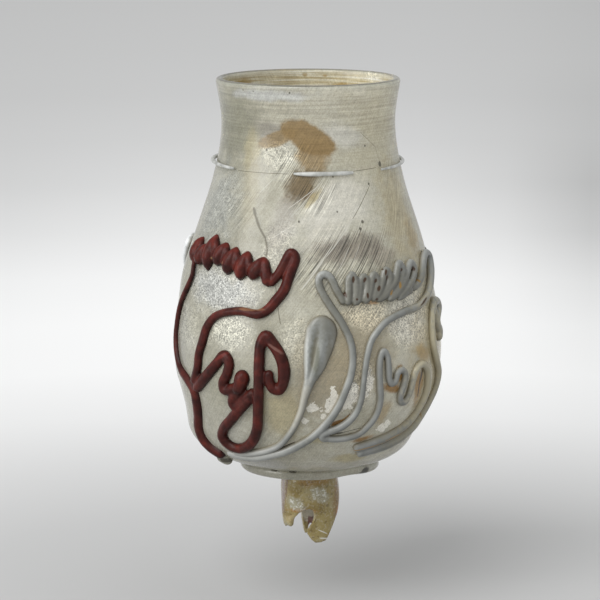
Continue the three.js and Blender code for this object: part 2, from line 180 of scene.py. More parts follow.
# The bowl is one blown bubble of colourless glass, drawn in to a neck and rounded at its lip by
# the fire. Burial has left it milky, silvery and scratched, with brown stains.
def new_tree(name, inputs, outputs, kind="GeometryNodeTree"):
    """A tree with named inputs, and the sockets of its two ends."""
    tree = bpy.data.node_groups.new(name, kind)
    for in_out, sockets in (("INPUT", inputs), ("OUTPUT", outputs)):
        for label, kind in sockets.items():
            tree.interface.new_socket(label, in_out=in_out, socket_type="NodeSocket" + kind)
    return tree, put(tree, "NodeGroupInput").outputs, put(tree, "NodeGroupOutput").inputs


def add_tree(piece, tree, **values):
    """Puts a tree on a piece and sets its inputs by their identifiers."""
    modifier = piece.modifiers.new(tree.name, "NODES")
    modifier.node_group = tree
    for item in tree.interface.items_tree:
        if item.in_out == "INPUT" and item.name.replace(" ", "_") in values:
            modifier[item.identifier] = values[item.name.replace(" ", "_")]


def mark_points(piece, name, values, kind="FLOAT"):
    """Stores one value for each point of a piece."""
    data = piece.data.attributes.new(name, kind, "POINT").data
    data.foreach_set("vector" if kind == "FLOAT_VECTOR" else "value", np.ravel(values))


def dress(tree, geometry, given, result):
    """Ends a tree with smooth shading, plain geometry and the material."""
    smooth = put(tree, "GeometryNodeSetShadeSmooth", {"Geometry": geometry})
    plain = put(tree, "GeometryNodeRealizeInstances", {0: smooth.outputs[0]})
    dressed = put(tree, "GeometryNodeSetMaterial", {
        "Geometry": plain.outputs[0], "Material": given["Material"]})
    tree.links.new(dressed.outputs[0], result["Geometry"])


def make_plain(piece):
    """Turns a piece's evaluated shape into a plain mesh without modifiers."""
    depsgraph = bpy.context.evaluated_depsgraph_get()
    mesh = bpy.data.meshes.new_from_object(
        piece.evaluated_get(depsgraph), preserve_all_data_layers=True, depsgraph=depsgraph)
    mesh.name = piece.name
    piece.modifiers.clear()
    piece.data = mesh


bowl_rows_apart, bowl_turns, seam_gap = 1.15, 257, 0.02 * MM
bowl_wall = 1.8
lip_wall = 2.5
lip_depth, lip_steps = 7, 9
bowl_outline = [
    (0, 3.2), (10, 2.7), (21.3, 2.7), (34.2, 9), (41.9, 24), (44.9, 44),
    (39.9, 73), (31.9, 99), (29, 117), (30.9, 132.3)]


def fair_line(corners, steps):
    """A smooth line through corners, as evenly timed cubic arcs."""
    corners = np.array(corners, float)
    before = np.vstack([corners[:1], corners[:-2]])
    after = np.vstack([corners[2:], corners[-1:]])
    t = np.linspace(0, 1, steps, endpoint=False)[:, None]
    arcs = []
    for p0, p1, p2, p3 in zip(before, corners[:-1], corners[1:], after):
        v0, v1 = (p2 - p0) / 2, (p3 - p1) / 2
        bend, sway = 2 * p1 - 2 * p2 + v0 + v1, 3 * p2 - 3 * p1 - 2 * v0 - v1
        arcs.append(bend * t ** 3 + sway * t ** 2 + v0 * t + p1)
    return np.vstack(arcs + [corners[-1:]])


def lengths_along(line, power=1):
    steps = np.linalg.norm(np.diff(line[:, :2], axis=0), axis=1)
    return np.concatenate([[0], np.cumsum(steps ** power)])


def even_line(line, spacing):
    """The same line with points at an even spacing, and how far along it they lie."""
    reach = lengths_along(line)
    marks = np.linspace(0, reach[-1], max(3, round(reach[-1] / spacing) + 1))
    return np.stack([np.interp(marks, reach, line[:, axis]) for axis in range(line.shape[1])], -1), marks


outer_line = even_line(fair_line(bowl_outline, 60), bowl_rows_apart)[0]
outer_reach = lengths_along(outer_line)
run = np.gradient(outer_line, axis=0)
run /= np.linalg.norm(run, axis=1)[:, None]
outer_face = np.stack([run[:, 1], -run[:, 0]], -1)
to_lip = np.clip((outer_reach - outer_reach[-1] + lip_depth) / lip_depth, 0, 1)
wall_there = bowl_wall + (lip_wall - bowl_wall) * to_lip ** 2 * (3 - 2 * to_lip)
inner_line = outer_line - outer_face * wall_there[:, None]
inner_line[0, 0] = 0
lip_start = outer_line[-2]
lip_middle = (outer_line[-2] + inner_line[-2]) / 2
lip_line = [
    lip_middle + (lip_start - lip_middle) * math.cos(turn)
    + np.array([-(lip_start - lip_middle)[1], (lip_start - lip_middle)[0]]) * math.sin(turn)
    for turn in np.linspace(0, math.pi, lip_steps)[1:-1]]
section = np.vstack([outer_line[:-1], lip_line, inner_line[:-1][::-1]])
section_run = np.gradient(section, axis=0)
section_run /= np.linalg.norm(section_run, axis=1)[:, None]
section_face = np.stack([section_run[:, 1], np.zeros(len(section)), -section_run[:, 0]], -1)
bowl_section = new_piece(
    "bowl_section", [(r * MM, 0, z * MM) for r, z in section], [],
    [(i, i + 1) for i in range(len(section) - 1)])
mark_points(bowl_section, "facing", section_face, "FLOAT_VECTOR")
bowl_section.hide_render = True


def distance_up(height):
    """How far up the outside of the wall a height lies."""
    return np.interp(height, outer_line[:, 1], outer_reach)


# Rule of the wall: where a point of the section lies once it is turned, lifted, and moved with the
# slight waves, the bulges and the flattening that blowing by hand left
wall_rule, given, result = new_tree(
    "rule of the wall",
    {"Section": "Vector", "Facing": "Vector", "Azimuth": "Float", "Lift": "Float"},
    {"Position": "Vector"})
lifted = vector(wall_rule, "SCALE", given["Facing"], given["Lift"])
parts = axes(wall_rule, vector(wall_rule, "ADD", given["Section"], lifted))
side = calc(wall_rule, "SINE", given["Azimuth"])
front = calc(wall_rule, "MULTIPLY", calc(wall_rule, "COSINE", given["Azimuth"]), -1.0)


def turned_out(radius):
    across, away = (calc(wall_rule, "MULTIPLY", radius, share) for share in (side, front))
    return put(wall_rule, "ShaderNodeCombineXYZ", {0: across, 1: away, 2: parts[2]}).outputs[0]


wave_size, waves_in_a_metre, still_radius = 0.35 * MM, 24.0, 12 * MM
bulges = [(2.6, -85, 11.5, 34, 7.5), (0.9, -88, 67, 26, 9), (-1.9, 84, 18, 32, 9)]
wave = put(wall_rule, "ShaderNodeTexNoise", {
    "Vector": turned_out(parts[0]), "Scale": waves_in_a_metre, "Detail": 1.0}).outputs[0]
stretch = calc(wall_rule, "MULTIPLY", calc(wall_rule, "SUBTRACT", wave, 0.5), 2 * wave_size)
for size, azimuth, height, width, spread in bulges:
    across = calc(wall_rule, "DIVIDE", calc(
        wall_rule, "SUBTRACT", given["Azimuth"], math.radians(azimuth)), math.radians(width))
    upward = calc(wall_rule, "DIVIDE", calc(wall_rule, "SUBTRACT", parts[2], height * MM), spread * MM)
    off = calc(wall_rule, "ADD", calc(wall_rule, "POWER", across, 2.0), calc(wall_rule, "POWER", upward, 2.0))
    bulge = calc(wall_rule, "EXPONENT", calc(wall_rule, "MULTIPLY", off, -1.0))
    stretch = calc(wall_rule, "MULTIPLY_ADD", bulge, size * MM, stretch)
free = calc(wall_rule, "MULTIPLY", parts[0], 1 / still_radius, clamp=True)
stretch = calc(wall_rule, "MULTIPLY", stretch, free)
wall_rule.links.new(turned_out(calc(wall_rule, "ADD", parts[0], stretch)), result["Position"])

# Tree for the bowl: a sheet whose rows follow the section, turned once round and closed
bowl_tree, given, result = new_tree(
    "turned bowl", {"Geometry": "Geometry", "Rows": "Int", "Turns": "Int", "Material": "Material"},
    {"Geometry": "Geometry"})
sheet = put(bowl_tree, "GeometryNodeMeshGrid", {
    "Size X": 1.0, "Size Y": 1.0, "Vertices X": given["Turns"], "Vertices Y": given["Rows"]})
spot = axes(bowl_tree, put(bowl_tree, "GeometryNodeInputPosition").outputs[0])
last_row = calc(bowl_tree, "SUBTRACT", given["Rows"], 1.0)
row = calc(bowl_tree, "MULTIPLY", calc(bowl_tree, "ADD", spot[1], 0.5), last_row)
row = put(bowl_tree, "FunctionNodeFloatToInt", {0: row}, rounding_mode="ROUND").outputs[0]


def from_section(value):
    return put(bowl_tree, "GeometryNodeSampleIndex", {
        0: given["Geometry"], 1: value, "Index": row}, data_type="FLOAT_VECTOR").outputs[0]


facing = put(bowl_tree, "GeometryNodeInputNamedAttribute", {"Name": "facing"}, data_type="FLOAT_VECTOR")
inner_side = calc(bowl_tree, "GREATER_THAN", row, calc(bowl_tree, "MULTIPLY", last_row, 0.5))
placed = put(bowl_tree, "GeometryNodeGroup", {
    "Section": from_section(put(bowl_tree, "GeometryNodeInputPosition").outputs[0]),
    "Facing": from_section(facing.outputs[0]),
    "Azimuth": calc(bowl_tree, "MULTIPLY", spot[0], 2 * math.pi)}, node_tree=wall_rule)
marked = put(bowl_tree, "GeometryNodeStoreNamedAttribute", {
    "Geometry": sheet.outputs[0], "Name": "inside", "Value": inner_side}, data_type="FLOAT", domain="POINT")
moved = put(bowl_tree, "GeometryNodeSetPosition", {
    "Geometry": marked.outputs[0], "Position": placed.outputs[0]})
closed = put(bowl_tree, "GeometryNodeMergeByDistance", {"Geometry": moved.outputs[0], "Distance": seam_gap})
dress(bowl_tree, closed.outputs[0], given, result)

# Rule of a stain: its share at a place on the unrolled wall, round a centre, tilted and ragged
patch_rule, given, result = new_tree(
    "patch on the wall",
    {"Place": "Vector", "Ragged": "Float", "Centre": "Vector", "Size": "Vector", "Tilt": "Float",
     "Softness": "Float", "Strength": "Float"}, {"Share": "Float"}, "ShaderNodeTree")
off = vector(patch_rule, "SUBTRACT", given["Place"], given["Centre"])
off = put(patch_rule, "ShaderNodeVectorRotate", {"Vector": off, "Angle": given["Tilt"]},
          rotation_type="Z_AXIS", invert=True).outputs[0]
off = vector(patch_rule, "LENGTH", vector(patch_rule, "DIVIDE", off, given["Size"]))
share = put(patch_rule, "ShaderNodeMapRange", {
    "Value": calc(patch_rule, "ADD", off, given["Ragged"]),
    "From Min": calc(patch_rule, "ADD", given["Softness"], 1.0),
    "From Max": calc(patch_rule, "SUBTRACT", 1.0, given["Softness"]),
    "To Min": 0.0, "To Max": given["Strength"]}, interpolation_type="SMOOTHSTEP").outputs[0]
patch_rule.links.new(share, result["Share"])


def rising(tree, value, start, end, low=0.0, high=1.0):
    """A share that goes from low to high while a value goes from start to end."""
    return put(tree, "ShaderNodeMapRange", {
        "Value": value, "From Min": start, "From Max": end, "To Min": low, "To Max": high}).outputs[0]


# Rule of a scratch: its share at a place, beside a straight stretch that thins out to its ends
scratch_rule, given, result = new_tree(
    "scratch on the wall",
    {"Place": "Vector", "Start": "Vector", "End": "Vector", "Width": "Float", "Taper": "Float"},
    {"Share": "Float"}, "ShaderNodeTree")
along = vector(scratch_rule, "SUBTRACT", given["End"], given["Start"])
off = vector(scratch_rule, "SUBTRACT", given["Place"], given["Start"])
reach = vector(scratch_rule, "DOT_PRODUCT", off, along)
whole = vector(scratch_rule, "DOT_PRODUCT", along, along)
reach = calc(scratch_rule, "DIVIDE", reach, whole, clamp=True)
off = vector(scratch_rule, "DISTANCE", off, vector(scratch_rule, "SCALE", along, reach))
thinned = calc(scratch_rule, "POWER", calc(scratch_rule, "ABSOLUTE", calc(
    scratch_rule, "MULTIPLY_ADD", reach, 2.0, -1.0)), 4.0)
half_width = calc(scratch_rule, "MULTIPLY", calc(scratch_rule, "SUBTRACT", 1.0, calc(
    scratch_rule, "MULTIPLY", thinned, given["Taper"])), given["Width"])
share = rising(scratch_rule, off, half_width, calc(scratch_rule, "MULTIPLY", half_width, 0.3))
scratch_rule.links.new(share, result["Share"])

unroll_radius = 40.0
unrolled = math.radians(unroll_radius)


def places(tree):
    """Where a point lies in the piece, and on its wall unrolled at one radius."""
    point = put(tree, "ShaderNodeTexCoord").outputs["Object"]
    parts = axes(tree, point)
    azimuth = calc(tree, "ARCTAN2", parts[0], calc(tree, "MULTIPLY", parts[1], -1.0))
    flat = put(tree, "ShaderNodeCombineXYZ", {
        0: calc(tree, "MULTIPLY", azimuth, unroll_radius), 1: calc(tree, "DIVIDE", parts[2], MM)}).outputs[0]
    return point, flat


def noise(tree, place, scale, detail=2.0, stretch=None, rough=0.55):
    if stretch:
        place = vector(tree, "MULTIPLY", place, stretch)
    return put(tree, "ShaderNodeTexNoise", {
        "Vector": place, "Scale": scale, "Detail": detail, "Roughness": rough}).outputs[0]


def mix(tree, share, under, over):
    return put(tree, "ShaderNodeMix", {0: share, 6: under, 7: over}, data_type="RGBA").outputs[2]


def told(tree, name):
    """What a piece's points have been told under a name."""
    return put(tree, "ShaderNodeAttribute", attribute_name=name).outputs["Fac"]


def covered(tree, skin, share, colour, strength=1.0):
    """A skin with a colour laid over it."""
    if strength < 1:
        share = calc(tree, "MULTIPLY", share, strength)
    return mix(tree, share, skin, paint(*colour))


def ragged_by(tree, point, scale, detail, rough=0.55, size=1.6):
    """How far a patch's edge is pushed in and out."""
    return calc(tree, "MULTIPLY_ADD", noise(tree, point, scale, detail, rough=rough), size, -size / 2)


def patch(tree, flat, ragged, azimuth, height, wide, tall, tilt=0, strength=1.0, soft=0.4):
    return put(tree, "ShaderNodeGroup", {
        "Place": flat, "Ragged": ragged, "Centre": (azimuth * unrolled, height, 0), "Size": (wide, tall, 1),
        "Tilt": math.radians(tilt), "Softness": soft, "Strength": strength}, node_tree=patch_rule).outputs[0]


def scratch(tree, flat, start, end, width, taper=0.9):
    (a0, h0), (a1, h1) = start, end
    return put(tree, "ShaderNodeGroup", {
        "Place": flat, "Start": (a0 * unrolled, h0, 0), "End": (a1 * unrolled, h1, 0), "Width": width / 2,
        "Taper": taper}, node_tree=scratch_rule).outputs[0]


def joined(tree, operation, values):
    """One value out of several, worked out one after the other."""
    whole = values[0]
    for value in values[1:]:
        whole = calc(tree, operation, whole, value)
    return whole


def patches(tree, flat, ragged, patch_places, **edge):
    return joined(tree, "MAXIMUM", [patch(tree, flat, ragged, *place, **edge) for place in patch_places])


def scratches(tree, flat, lines, taper=0.9):
    return joined(tree, "MAXIMUM", [scratch(tree, flat, *line, taper=taper) for line in lines])


def stained(tree, skin, flat, ragged, stains, **edge):
    """A skin with stains over it, one after the other."""
    for *place, colour in stains:
        skin = covered(tree, skin, patch(tree, flat, ragged, *place, **edge), colour)
    return skin


# Clouds and stains on the wall, and three painted highlights: azimuth, height, half width, half
# height, tilt, share, softness and colour. The crisp ones have calmer edges.
wall_stains_and_highlights = [
    (-57, 119, 17, 14, 0, 0.85, 0.6, (156, 155, 136)), (5, 124, 20, 4, 0, 0.6, 0.6, (203, 200, 184)),
    # Painted highlight: the pale band under the lip at the left
    (-26, 129, 18, 1.7, 0, 0.8, 0.5, (222, 225, 224)),
    (45, 115, 15, 14, 0, 0.8, 0.6, (210, 205, 183)), (-24, 117, 8, 3, -15, 0.7, 0.5, (162, 157, 148)),
    (-39, 110, 4, 6, 0, 0.75, 0.6, (206, 197, 164)), (-36, 98, 3.5, 11, 5, 0.7, 0.6, (202, 195, 168)),
    (-60, 91, 12, 12, 0, 0.8, 0.6, (174, 176, 170)), (-14, 88, 4, 9, -20, 0.6, 0.6, (168, 162, 152)),
    # Painted highlights: the two bright streaks on the neck's right
    (15, 93, 14, 7.5, 25, 0.9, 0.5, (238, 236, 226)), (9, 84, 9, 3.6, 20, 0.8, 0.5, (232, 229, 216)),
    (58, 89, 9, 15, 0, 0.75, 0.6, (197, 186, 154)), (67, 81, 4, 6, 0, 0.7, 0.6, (176, 156, 112)),
    (21, 80, 14, 3.9, 8, 0.8, 0.45, (136, 128, 118)), (38, 77, 6, 3.4, 0, 0.6, 0.5, (150, 141, 130)),
    (-46, 65, 13, 6.5, -8, 0.85, 0.5, (188, 189, 185)), (-36, 53, 8, 6, 0, 0.8, 0.4, (206, 204, 188)),
    (-72, 48, 7, 14, 0, 0.7, 0.6, (168, 166, 155)), (-40, 35, 11, 10, 0, 0.75, 0.6, (184, 182, 162)),
    (-11, 28, 6, 8, 0, 0.7, 0.6, (188, 176, 136)), (6, 40, 9, 13, 0, 0.8, 0.6, (164, 153, 128)),
    (22, 47, 10, 13, 0, 0.75, 0.6, (180, 168, 141)), (27, 60, 7, 5, 0, 0.65, 0.4, (204, 194, 170)),
    (50, 56, 9, 8.5, 0, 0.8, 0.4, (204, 200, 187)), (70, 40, 13, 22, 0, 0.55, 0.6, (180, 164, 124)),
    (38, 34, 3.4, 1.7, -20, 0.9, 0.45, (158, 116, 52)), (42, 38.5, 1.5, 2.6, 0, 0.9, 0.4, (164, 122, 56)),
    (57, 44, 5, 2.2, -25, 0.8, 0.6, (176, 148, 90)), (55.5, 33, 2.2, 6, 8, 0.85, 0.5, (160, 122, 58)),
    (35.5, 25.5, 2.2, 4.4, -10, 0.6, 0.6, (178, 152, 104)),
    (27, 17, 4, 1, 10, 0.9, 0.4, (164, 124, 66)), (13.5, 23.7, 2.2, 0.8, 15, 0.95, 0.3, (146, 104, 46)),
    (18.5, 25.8, 3, 0.7, 35, 0.85, 0.3, (160, 120, 62)), (68, 46, 1.6, 6, 0, 0.7, 0.5, (174, 148, 90)),
    (30, 63, 2, 1, 0, 0.7, 0.5, (196, 152, 104)), (24, 116, 9, 3.6, -15, 0.75, 0.6, (222, 222, 216)),
    (-27, 8, 8, 3, 0, 0.7, 0.6, (206, 206, 200)), (4, 18, 5, 1.6, 0, 0.6, 0.5, (198, 188, 142)),
    (22, 10, 6, 1.6, 0, 0.6, 0.5, (196, 182, 130)),
    (3.5, 109.6, 7, 5.4, 0, 0.85, 0.4, (168, 143, 101))]
crisp_stains = [
    (-20, 115, 9.5, 2.4, 14, 0.8, 0.2, (160, 136, 94)),
    (0, 115.2, 12.2, 4.8, -20, 0.95, 0.14, (160, 134, 91))]
neck_stains = [
    (-4, 99.6, 6.4, 4.8, 20, 0.92, 0.4, (124, 105, 74)), (2.5, 96, 4.4, 1.2, 40, 0.7, 0.35, (186, 173, 132))]

# Flakes of the milky skin that stayed on, where the rest has come off
white_flakes = [
    (2, 28.8, 2.3, 1.6), (10.3, 29.6, 2, 2.8), (10.8, 32.8, 1, 2.8), (18.4, 33.4, 2, 4.4),
    (36.5, 20.3, 1.6, 1.6), (39.5, 21.3, 1.3, 1.4), (-1.5, 24.6, 0.8, 1.1), (6.5, 25.9, 0.9, 0.9),
    (15.6, 29.3, 0.9, 1.6), (26, 37, 1.6, 4)]

# Where the skin is silvery and speckled: azimuth, height, half width, half height, tilt, share
frost_places = [
    (-46, 65, 14, 7.5, 0, 1.0), (-36, 53, 8, 6, 0, 1.0), (50, 56, 9, 9, 0, 1.0), (27, 60, 7, 6, 0, 0.9),
    (-60, 91, 12, 12, 0, 0.5), (-66, 52, 7, 8, 0, 0.7), (-19, 110, 8, 4, 0, 0.7), (-15, 80, 6, 9, 0, 0.5),
    (22, 38, 4, 9, 0, 0.7), (-5, 50, 6, 8, 0, 0.5)]

# Where fine parallel scratches run up to the right, then single scratches: start, end and width
fan_places = [
    (20, 77, 17, 7.5, 10, 1.0), (-8, 106, 9, 6, 10, 0.8), (3, 97, 8, 5, 10, 0.7), (26, 62, 8, 7, 10, 0.5),
    (-50, 92, 12, 9, 10, 0.35), (62, 92, 9, 12, 10, 0.4)]
wall_scratches = [
    ((-3.5, 67.3), (7.5, 77), 0.7), ((7.5, 77), (24.5, 89.4), 0.55), ((-30, 97), (-20, 103), 0.24),
    ((0.5, 71.7), (12.5, 81.8), 0.5), ((-11.5, 92.7), (6.5, 100.4), 0.34),
    ((-10, 89.9), (10.5, 103.4), 0.3), ((-4, 85.6), (10.5, 90.4), 0.24), ((12, 71), (21, 81), 0.3),
    ((17, 70), (27, 82), 0.26), ((-20, 83), (-2, 90), 0.2)]

# Dark cracks, in the same way
wall_cracks = [
    ((-31.6, 92.4), (-29.6, 90), 1.8), ((-29.6, 90), (-26.2, 86.5), 1.5), ((-26.2, 86.5), (-22.3, 83.5), 1.2),
    ((-22.3, 83.5), (-20.4, 80), 1), ((-20.4, 80), (-20.7, 77.8), 0.9), ((-15, 68.8), (-13, 60), 0.42),
    ((-13, 60), (-12, 56.5), 0.4), ((36, 116.6), (48, 111.5), 0.22), ((48, 111.5), (51, 106), 0.22),
    ((39, 99.4), (24.5, 89.4), 0.4),
    ((-48, 103.8), (-12, 103.8), 0.35), ((27.5, 104.3), (46.5, 104.8), 0.3)]

# Black earth in the seams: start, end and width
wall_seams = [
    ((-33.5, 3.3), (-27, 3.1), 1.6), ((-16, 3.1), (-10, 3.1), 1.3), ((10.5, 19.6), (16, 20), 0.8),
    ((16, 20), (24.5, 21.2), 0.3), ((57.2, 38), (56, 33), 1.6), ((56, 33), (57, 29), 0.9),
    ((-14, 14.3), (-6.5, 16.8), 0.5), ((66, 50), (65, 38), 0.3)]

# Dark specks: azimuth, height and width
wall_specks = [
    (-27.5, 111.2, 0.9), (39, 112.2, 0.8), (50.5, 105.8, 1.8), (15, 102.9, 0.7), (37.5, 13.1, 1),
    (16, 91.8, 0.7), (-5, 88.9, 0.8), (38.5, 99.9, 0.9), (30, 88.2, 1.1), (28, 86.1, 1),
    (-44, 130.4, 0.6), (-11.5, 130.2, 0.7), (-36, 130.2, 0.5), (-56.5, 6, 1.6), (26, 15.3, 0.8)]

old_glass, tree, shader = new_material("weathered_clear_glass")
point, flat = places(tree)
grain = noise(tree, point, 2100.0, 2.0, rough=0.7)
coarse = noise(tree, point, 520.0, 2.0)
clouds = noise(tree, point, 55.0, 4.0)
ragged = ragged_by(tree, point, 190.0, 4.0, 0.65)
skin = ramp(tree, clouds, [
    (0.32, paint(190, 187, 169)), (0.5, paint(206, 203, 186)), (0.7, paint(220, 218, 204))])
skin = stained(tree, skin, flat, ragged, wall_stains_and_highlights)
skin = stained(tree, skin, flat, calc(tree, "MULTIPLY", ragged, 0.4), crisp_stains)
skin = stained(tree, skin, flat, ragged, neck_stains)
chipped = ragged_by(tree, point, 460.0, 3.0, 0.6, 3.2)
flakes = patches(tree, flat, chipped, white_flakes, soft=0.12)
skin = covered(tree, skin, flakes, (226, 223, 213), 0.8)

# The inner side and the lip are golden, and the lip's fire-rounded top carries a painted highlight
rings = noise(tree, point, 1.0, 2.0, stretch=(40, 40, 1400))
golden = ramp(tree, rings, [
    (0.36, paint(216, 198, 150)), (0.52, paint(238, 229, 200)), (0.66, paint(246, 244, 232))])
amber = patches(tree, flat, ragged, [
    (-128, 128.6, 6, 2.2), (-140, 126.4, 12, 1), (150, 127, 10, 1), (-178, 130.6, 1.4, 0.7),
    (168, 130.4, 1.2, 0.6)], strength=0.9)
golden = covered(tree, golden, amber, (184, 154, 88))
skin = mix(tree, told(tree, "inside"), skin, golden)
up = axes(tree, flat)[1]
# Painted highlight along the lip's rounded top, then a thin dark line along its crown
skin = covered(tree, skin, rising(tree, up, 129.8, 132.4), (218, 218, 206), 0.6)
skin = covered(tree, skin, rising(tree, up, 132.0, 132.3), (128, 126, 112), 0.85)

# The far side, which the photo doesn't show, is clouded and speckled in the same way
behind = rising(tree, axes(tree, point)[1], 0.0, 0.02)
blotches = noise(tree, point, 42.0, 3.0)
clouded = calc(tree, "MULTIPLY", behind, rising(tree, blotches, 0.5, 0.62))
skin = covered(tree, skin, clouded, (184, 170, 138), 0.5)

# Speckle, streaks round the neck, scratches, cracks and specks
frost = patches(tree, flat, ragged, frost_places)
speckled = calc(tree, "MULTIPLY", behind, rising(tree, blotches, 0.48, 0.36))
frost = calc(tree, "MAXIMUM", frost, speckled)
fans = patches(tree, flat, ragged, fan_places, soft=0.5)
turned = put(tree, "ShaderNodeVectorRotate", {
    "Vector": flat, "Angle": math.radians(-53)}, rotation_type="Z_AXIS").outputs[0]
combed = noise(tree, turned, 1.0, 3.0, stretch=(0.06, 2.3, 1), rough=0.7)
neck = rising(tree, up, 100.0, 118.0)


def swing(value, amount):
    """A factor round 1 from a noise, as strong as the amount says."""
    return calc(tree, "MULTIPLY_ADD", calc(tree, "SUBTRACT", value, 0.5), amount, 1.0)


swings = [
    (grain, frost, 3.4, 0.8), (coarse, frost, 1.0, 0.4), (combed, fans, 5.2, 0.6), (rings, neck, 0.6, 0.2)]
shades = [
    swing(value, calc(tree, "MULTIPLY_ADD", share, growth, least)) for value, share, growth, least in swings]

# Painted light: the skin is brighter towards the right and darker towards the left, and painted shade darkens
# it towards the foot
shades.append(calc(tree, "MULTIPLY_ADD", axes(tree, point)[0], 4.2, 0.98))
shades.append(rising(tree, up, 0.0, 26.0, 0.8, 1.0))
shade = calc(tree, "MAXIMUM", joined(tree, "MULTIPLY", shades), 0.3)
skin = vector(tree, "SCALE", skin, calc(tree, "MINIMUM", shade, 1.6))
pits = put(tree, "ShaderNodeTexVoronoi", {"Vector": point, "Scale": 480.0}).outputs["Distance"]
pitted = calc(tree, "MULTIPLY", calc(tree, "GREATER_THAN", coarse, 0.52), calc(tree, "MULTIPLY", frost, 0.55))
pits = calc(tree, "MULTIPLY", rising(tree, pits, 0.24, 0.1), pitted)
skin = covered(tree, skin, pits, (100, 96, 82))
skin = covered(tree, skin, scratches(tree, flat, wall_scratches), (240, 238, 228), 0.85)
skin = covered(tree, skin, scratches(tree, flat, wall_cracks, 0.3), (104, 98, 80), 0.8)
skin = covered(tree, skin, scratches(tree, flat, wall_seams, 0.4), (46, 38, 24), 0.9)
specks = patches(tree, flat, calc(tree, "MULTIPLY", ragged, 0.5), [
    (azimuth, height, wide / 2, wide / 2) for azimuth, height, wide in wall_specks], soft=0.25)
skin = covered(tree, skin, specks, (58, 52, 38), 0.85)
lap_dirt = patch(tree, flat, ragged, 54, 1, 3.6, 1.5, 6, 0.9, 0.3)
skin = covered(tree, skin, lap_dirt, (44, 42, 38))
relief = calc(tree, "MULTIPLY_ADD", frost, calc(tree, "MULTIPLY", grain, 0.6), calc(
    tree, "MULTIPLY", combed, calc(tree, "MULTIPLY_ADD", fans, 0.8, 0.08)))
relief = calc(tree, "MULTIPLY_ADD", coarse, 0.5, relief)
bump = put(tree, "ShaderNodeBump", {"Strength": 0.35, "Distance": 0.25 * MM, "Height": relief}).outputs[0]
cover = calc(tree, "MAXIMUM", frost, calc(tree, "MAXIMUM", flakes, specks))
feed(shader, {
    "Base Color": skin, "Normal": bump, "IOR": 1.48,
    "Roughness": calc(tree, "MULTIPLY_ADD", frost, 0.15, calc(tree, "MULTIPLY_ADD", coarse, 0.2, 0.08)),
    "Transmission Weight": calc(tree, "MULTIPLY_ADD", cover, -0.3, 0.38)})

bowl = new_piece("bowl_glass", [v.co for v in bowl_section.data.vertices], [])
mark_points(bowl, "facing", section_face, "FLOAT_VECTOR")
add_tree(bowl, bowl_tree, Rows=len(section), Turns=bowl_turns, Material=old_glass)
make_plain(bowl)
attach(bowl, "root")
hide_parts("bowl")


# The red motif at the front left and its fellow at the back right are single threads of hot red
# glass, laid on the wall in loops, lapped over themselves and pinched into nibs along the crest.
def on_the_wall(tree, given, point):
    """Where a point lies in space that is given by its azimuth, its way up the wall and its lift."""
    azimuth, way_up, lift = axes(tree, point)
    section_line = put(tree, "GeometryNodeMeshToCurve", {
        0: put(tree, "GeometryNodeObjectInfo", {"Object": given["Section"]}).outputs["Geometry"]})
    facing = put(tree, "GeometryNodeInputNamedAttribute", {"Name": "facing"}, data_type="FLOAT_VECTOR")
    there = put(tree, "GeometryNodeSampleCurve", {
        0: section_line.outputs[0], 1: facing.outputs[0], "Length": way_up},
        data_type="FLOAT_VECTOR", mode="LENGTH")
    return put(tree, "GeometryNodeGroup", {
        "Section": there.outputs["Position"], "Facing": there.outputs[0], "Azimuth": azimuth, "Lift": lift},
        node_tree=wall_rule).outputs[0]


trail_tree, given, result = new_tree(
    "trail on the wall",
    {"Geometry": "Geometry", "Section": "Object", "Facets": "Int", "Wobble": "Float", "Seed": "Float",
     "Laid on the wall": "Bool"},
    {"Geometry": "Geometry"})
path_point = put(trail_tree, "GeometryNodeInputPosition").outputs[0]
either = put(trail_tree, "GeometryNodeSwitch", {
    0: given["Laid on the wall"], 1: path_point, 2: on_the_wall(trail_tree, given, path_point)},
    input_type="VECTOR")
on_wall = put(trail_tree, "GeometryNodeSetPosition", {
    "Geometry": given["Geometry"], "Position": either.outputs[0]})
thread = put(trail_tree, "GeometryNodeMeshToCurve", {0: on_wall.outputs[0]})
unevenness = put(trail_tree, "ShaderNodeTexNoise", {
    "Vector": put(trail_tree, "GeometryNodeInputPosition").outputs[0], "W": given["Seed"],
    "Scale": 150.0, "Detail": 1.0}, noise_dimensions="4D").outputs[0]
unevenness = calc(trail_tree, "MULTIPLY", calc(trail_tree, "SUBTRACT", unevenness, 0.5), given["Wobble"])
bead = put(trail_tree, "GeometryNodeInputNamedAttribute", {"Name": "bead"}, data_type="FLOAT").outputs[0]
bead = calc(trail_tree, "MULTIPLY", bead, calc(trail_tree, "ADD", unevenness, 1.0))
round_section = put(trail_tree, "GeometryNodeCurvePrimitiveCircle", {
    "Resolution": given["Facets"], "Radius": 1.0})
glass_rod = put(trail_tree, "GeometryNodeCurveToMesh", {
    "Curve": thread.outputs[0], "Profile Curve": round_section.outputs[0], "Scale": bead, "Fill Caps": True})
whole = put(trail_tree, "GeometryNodeRealizeInstances", {0: glass_rod.outputs[0]})
trail_tree.links.new(whole.outputs[0], result["Geometry"])
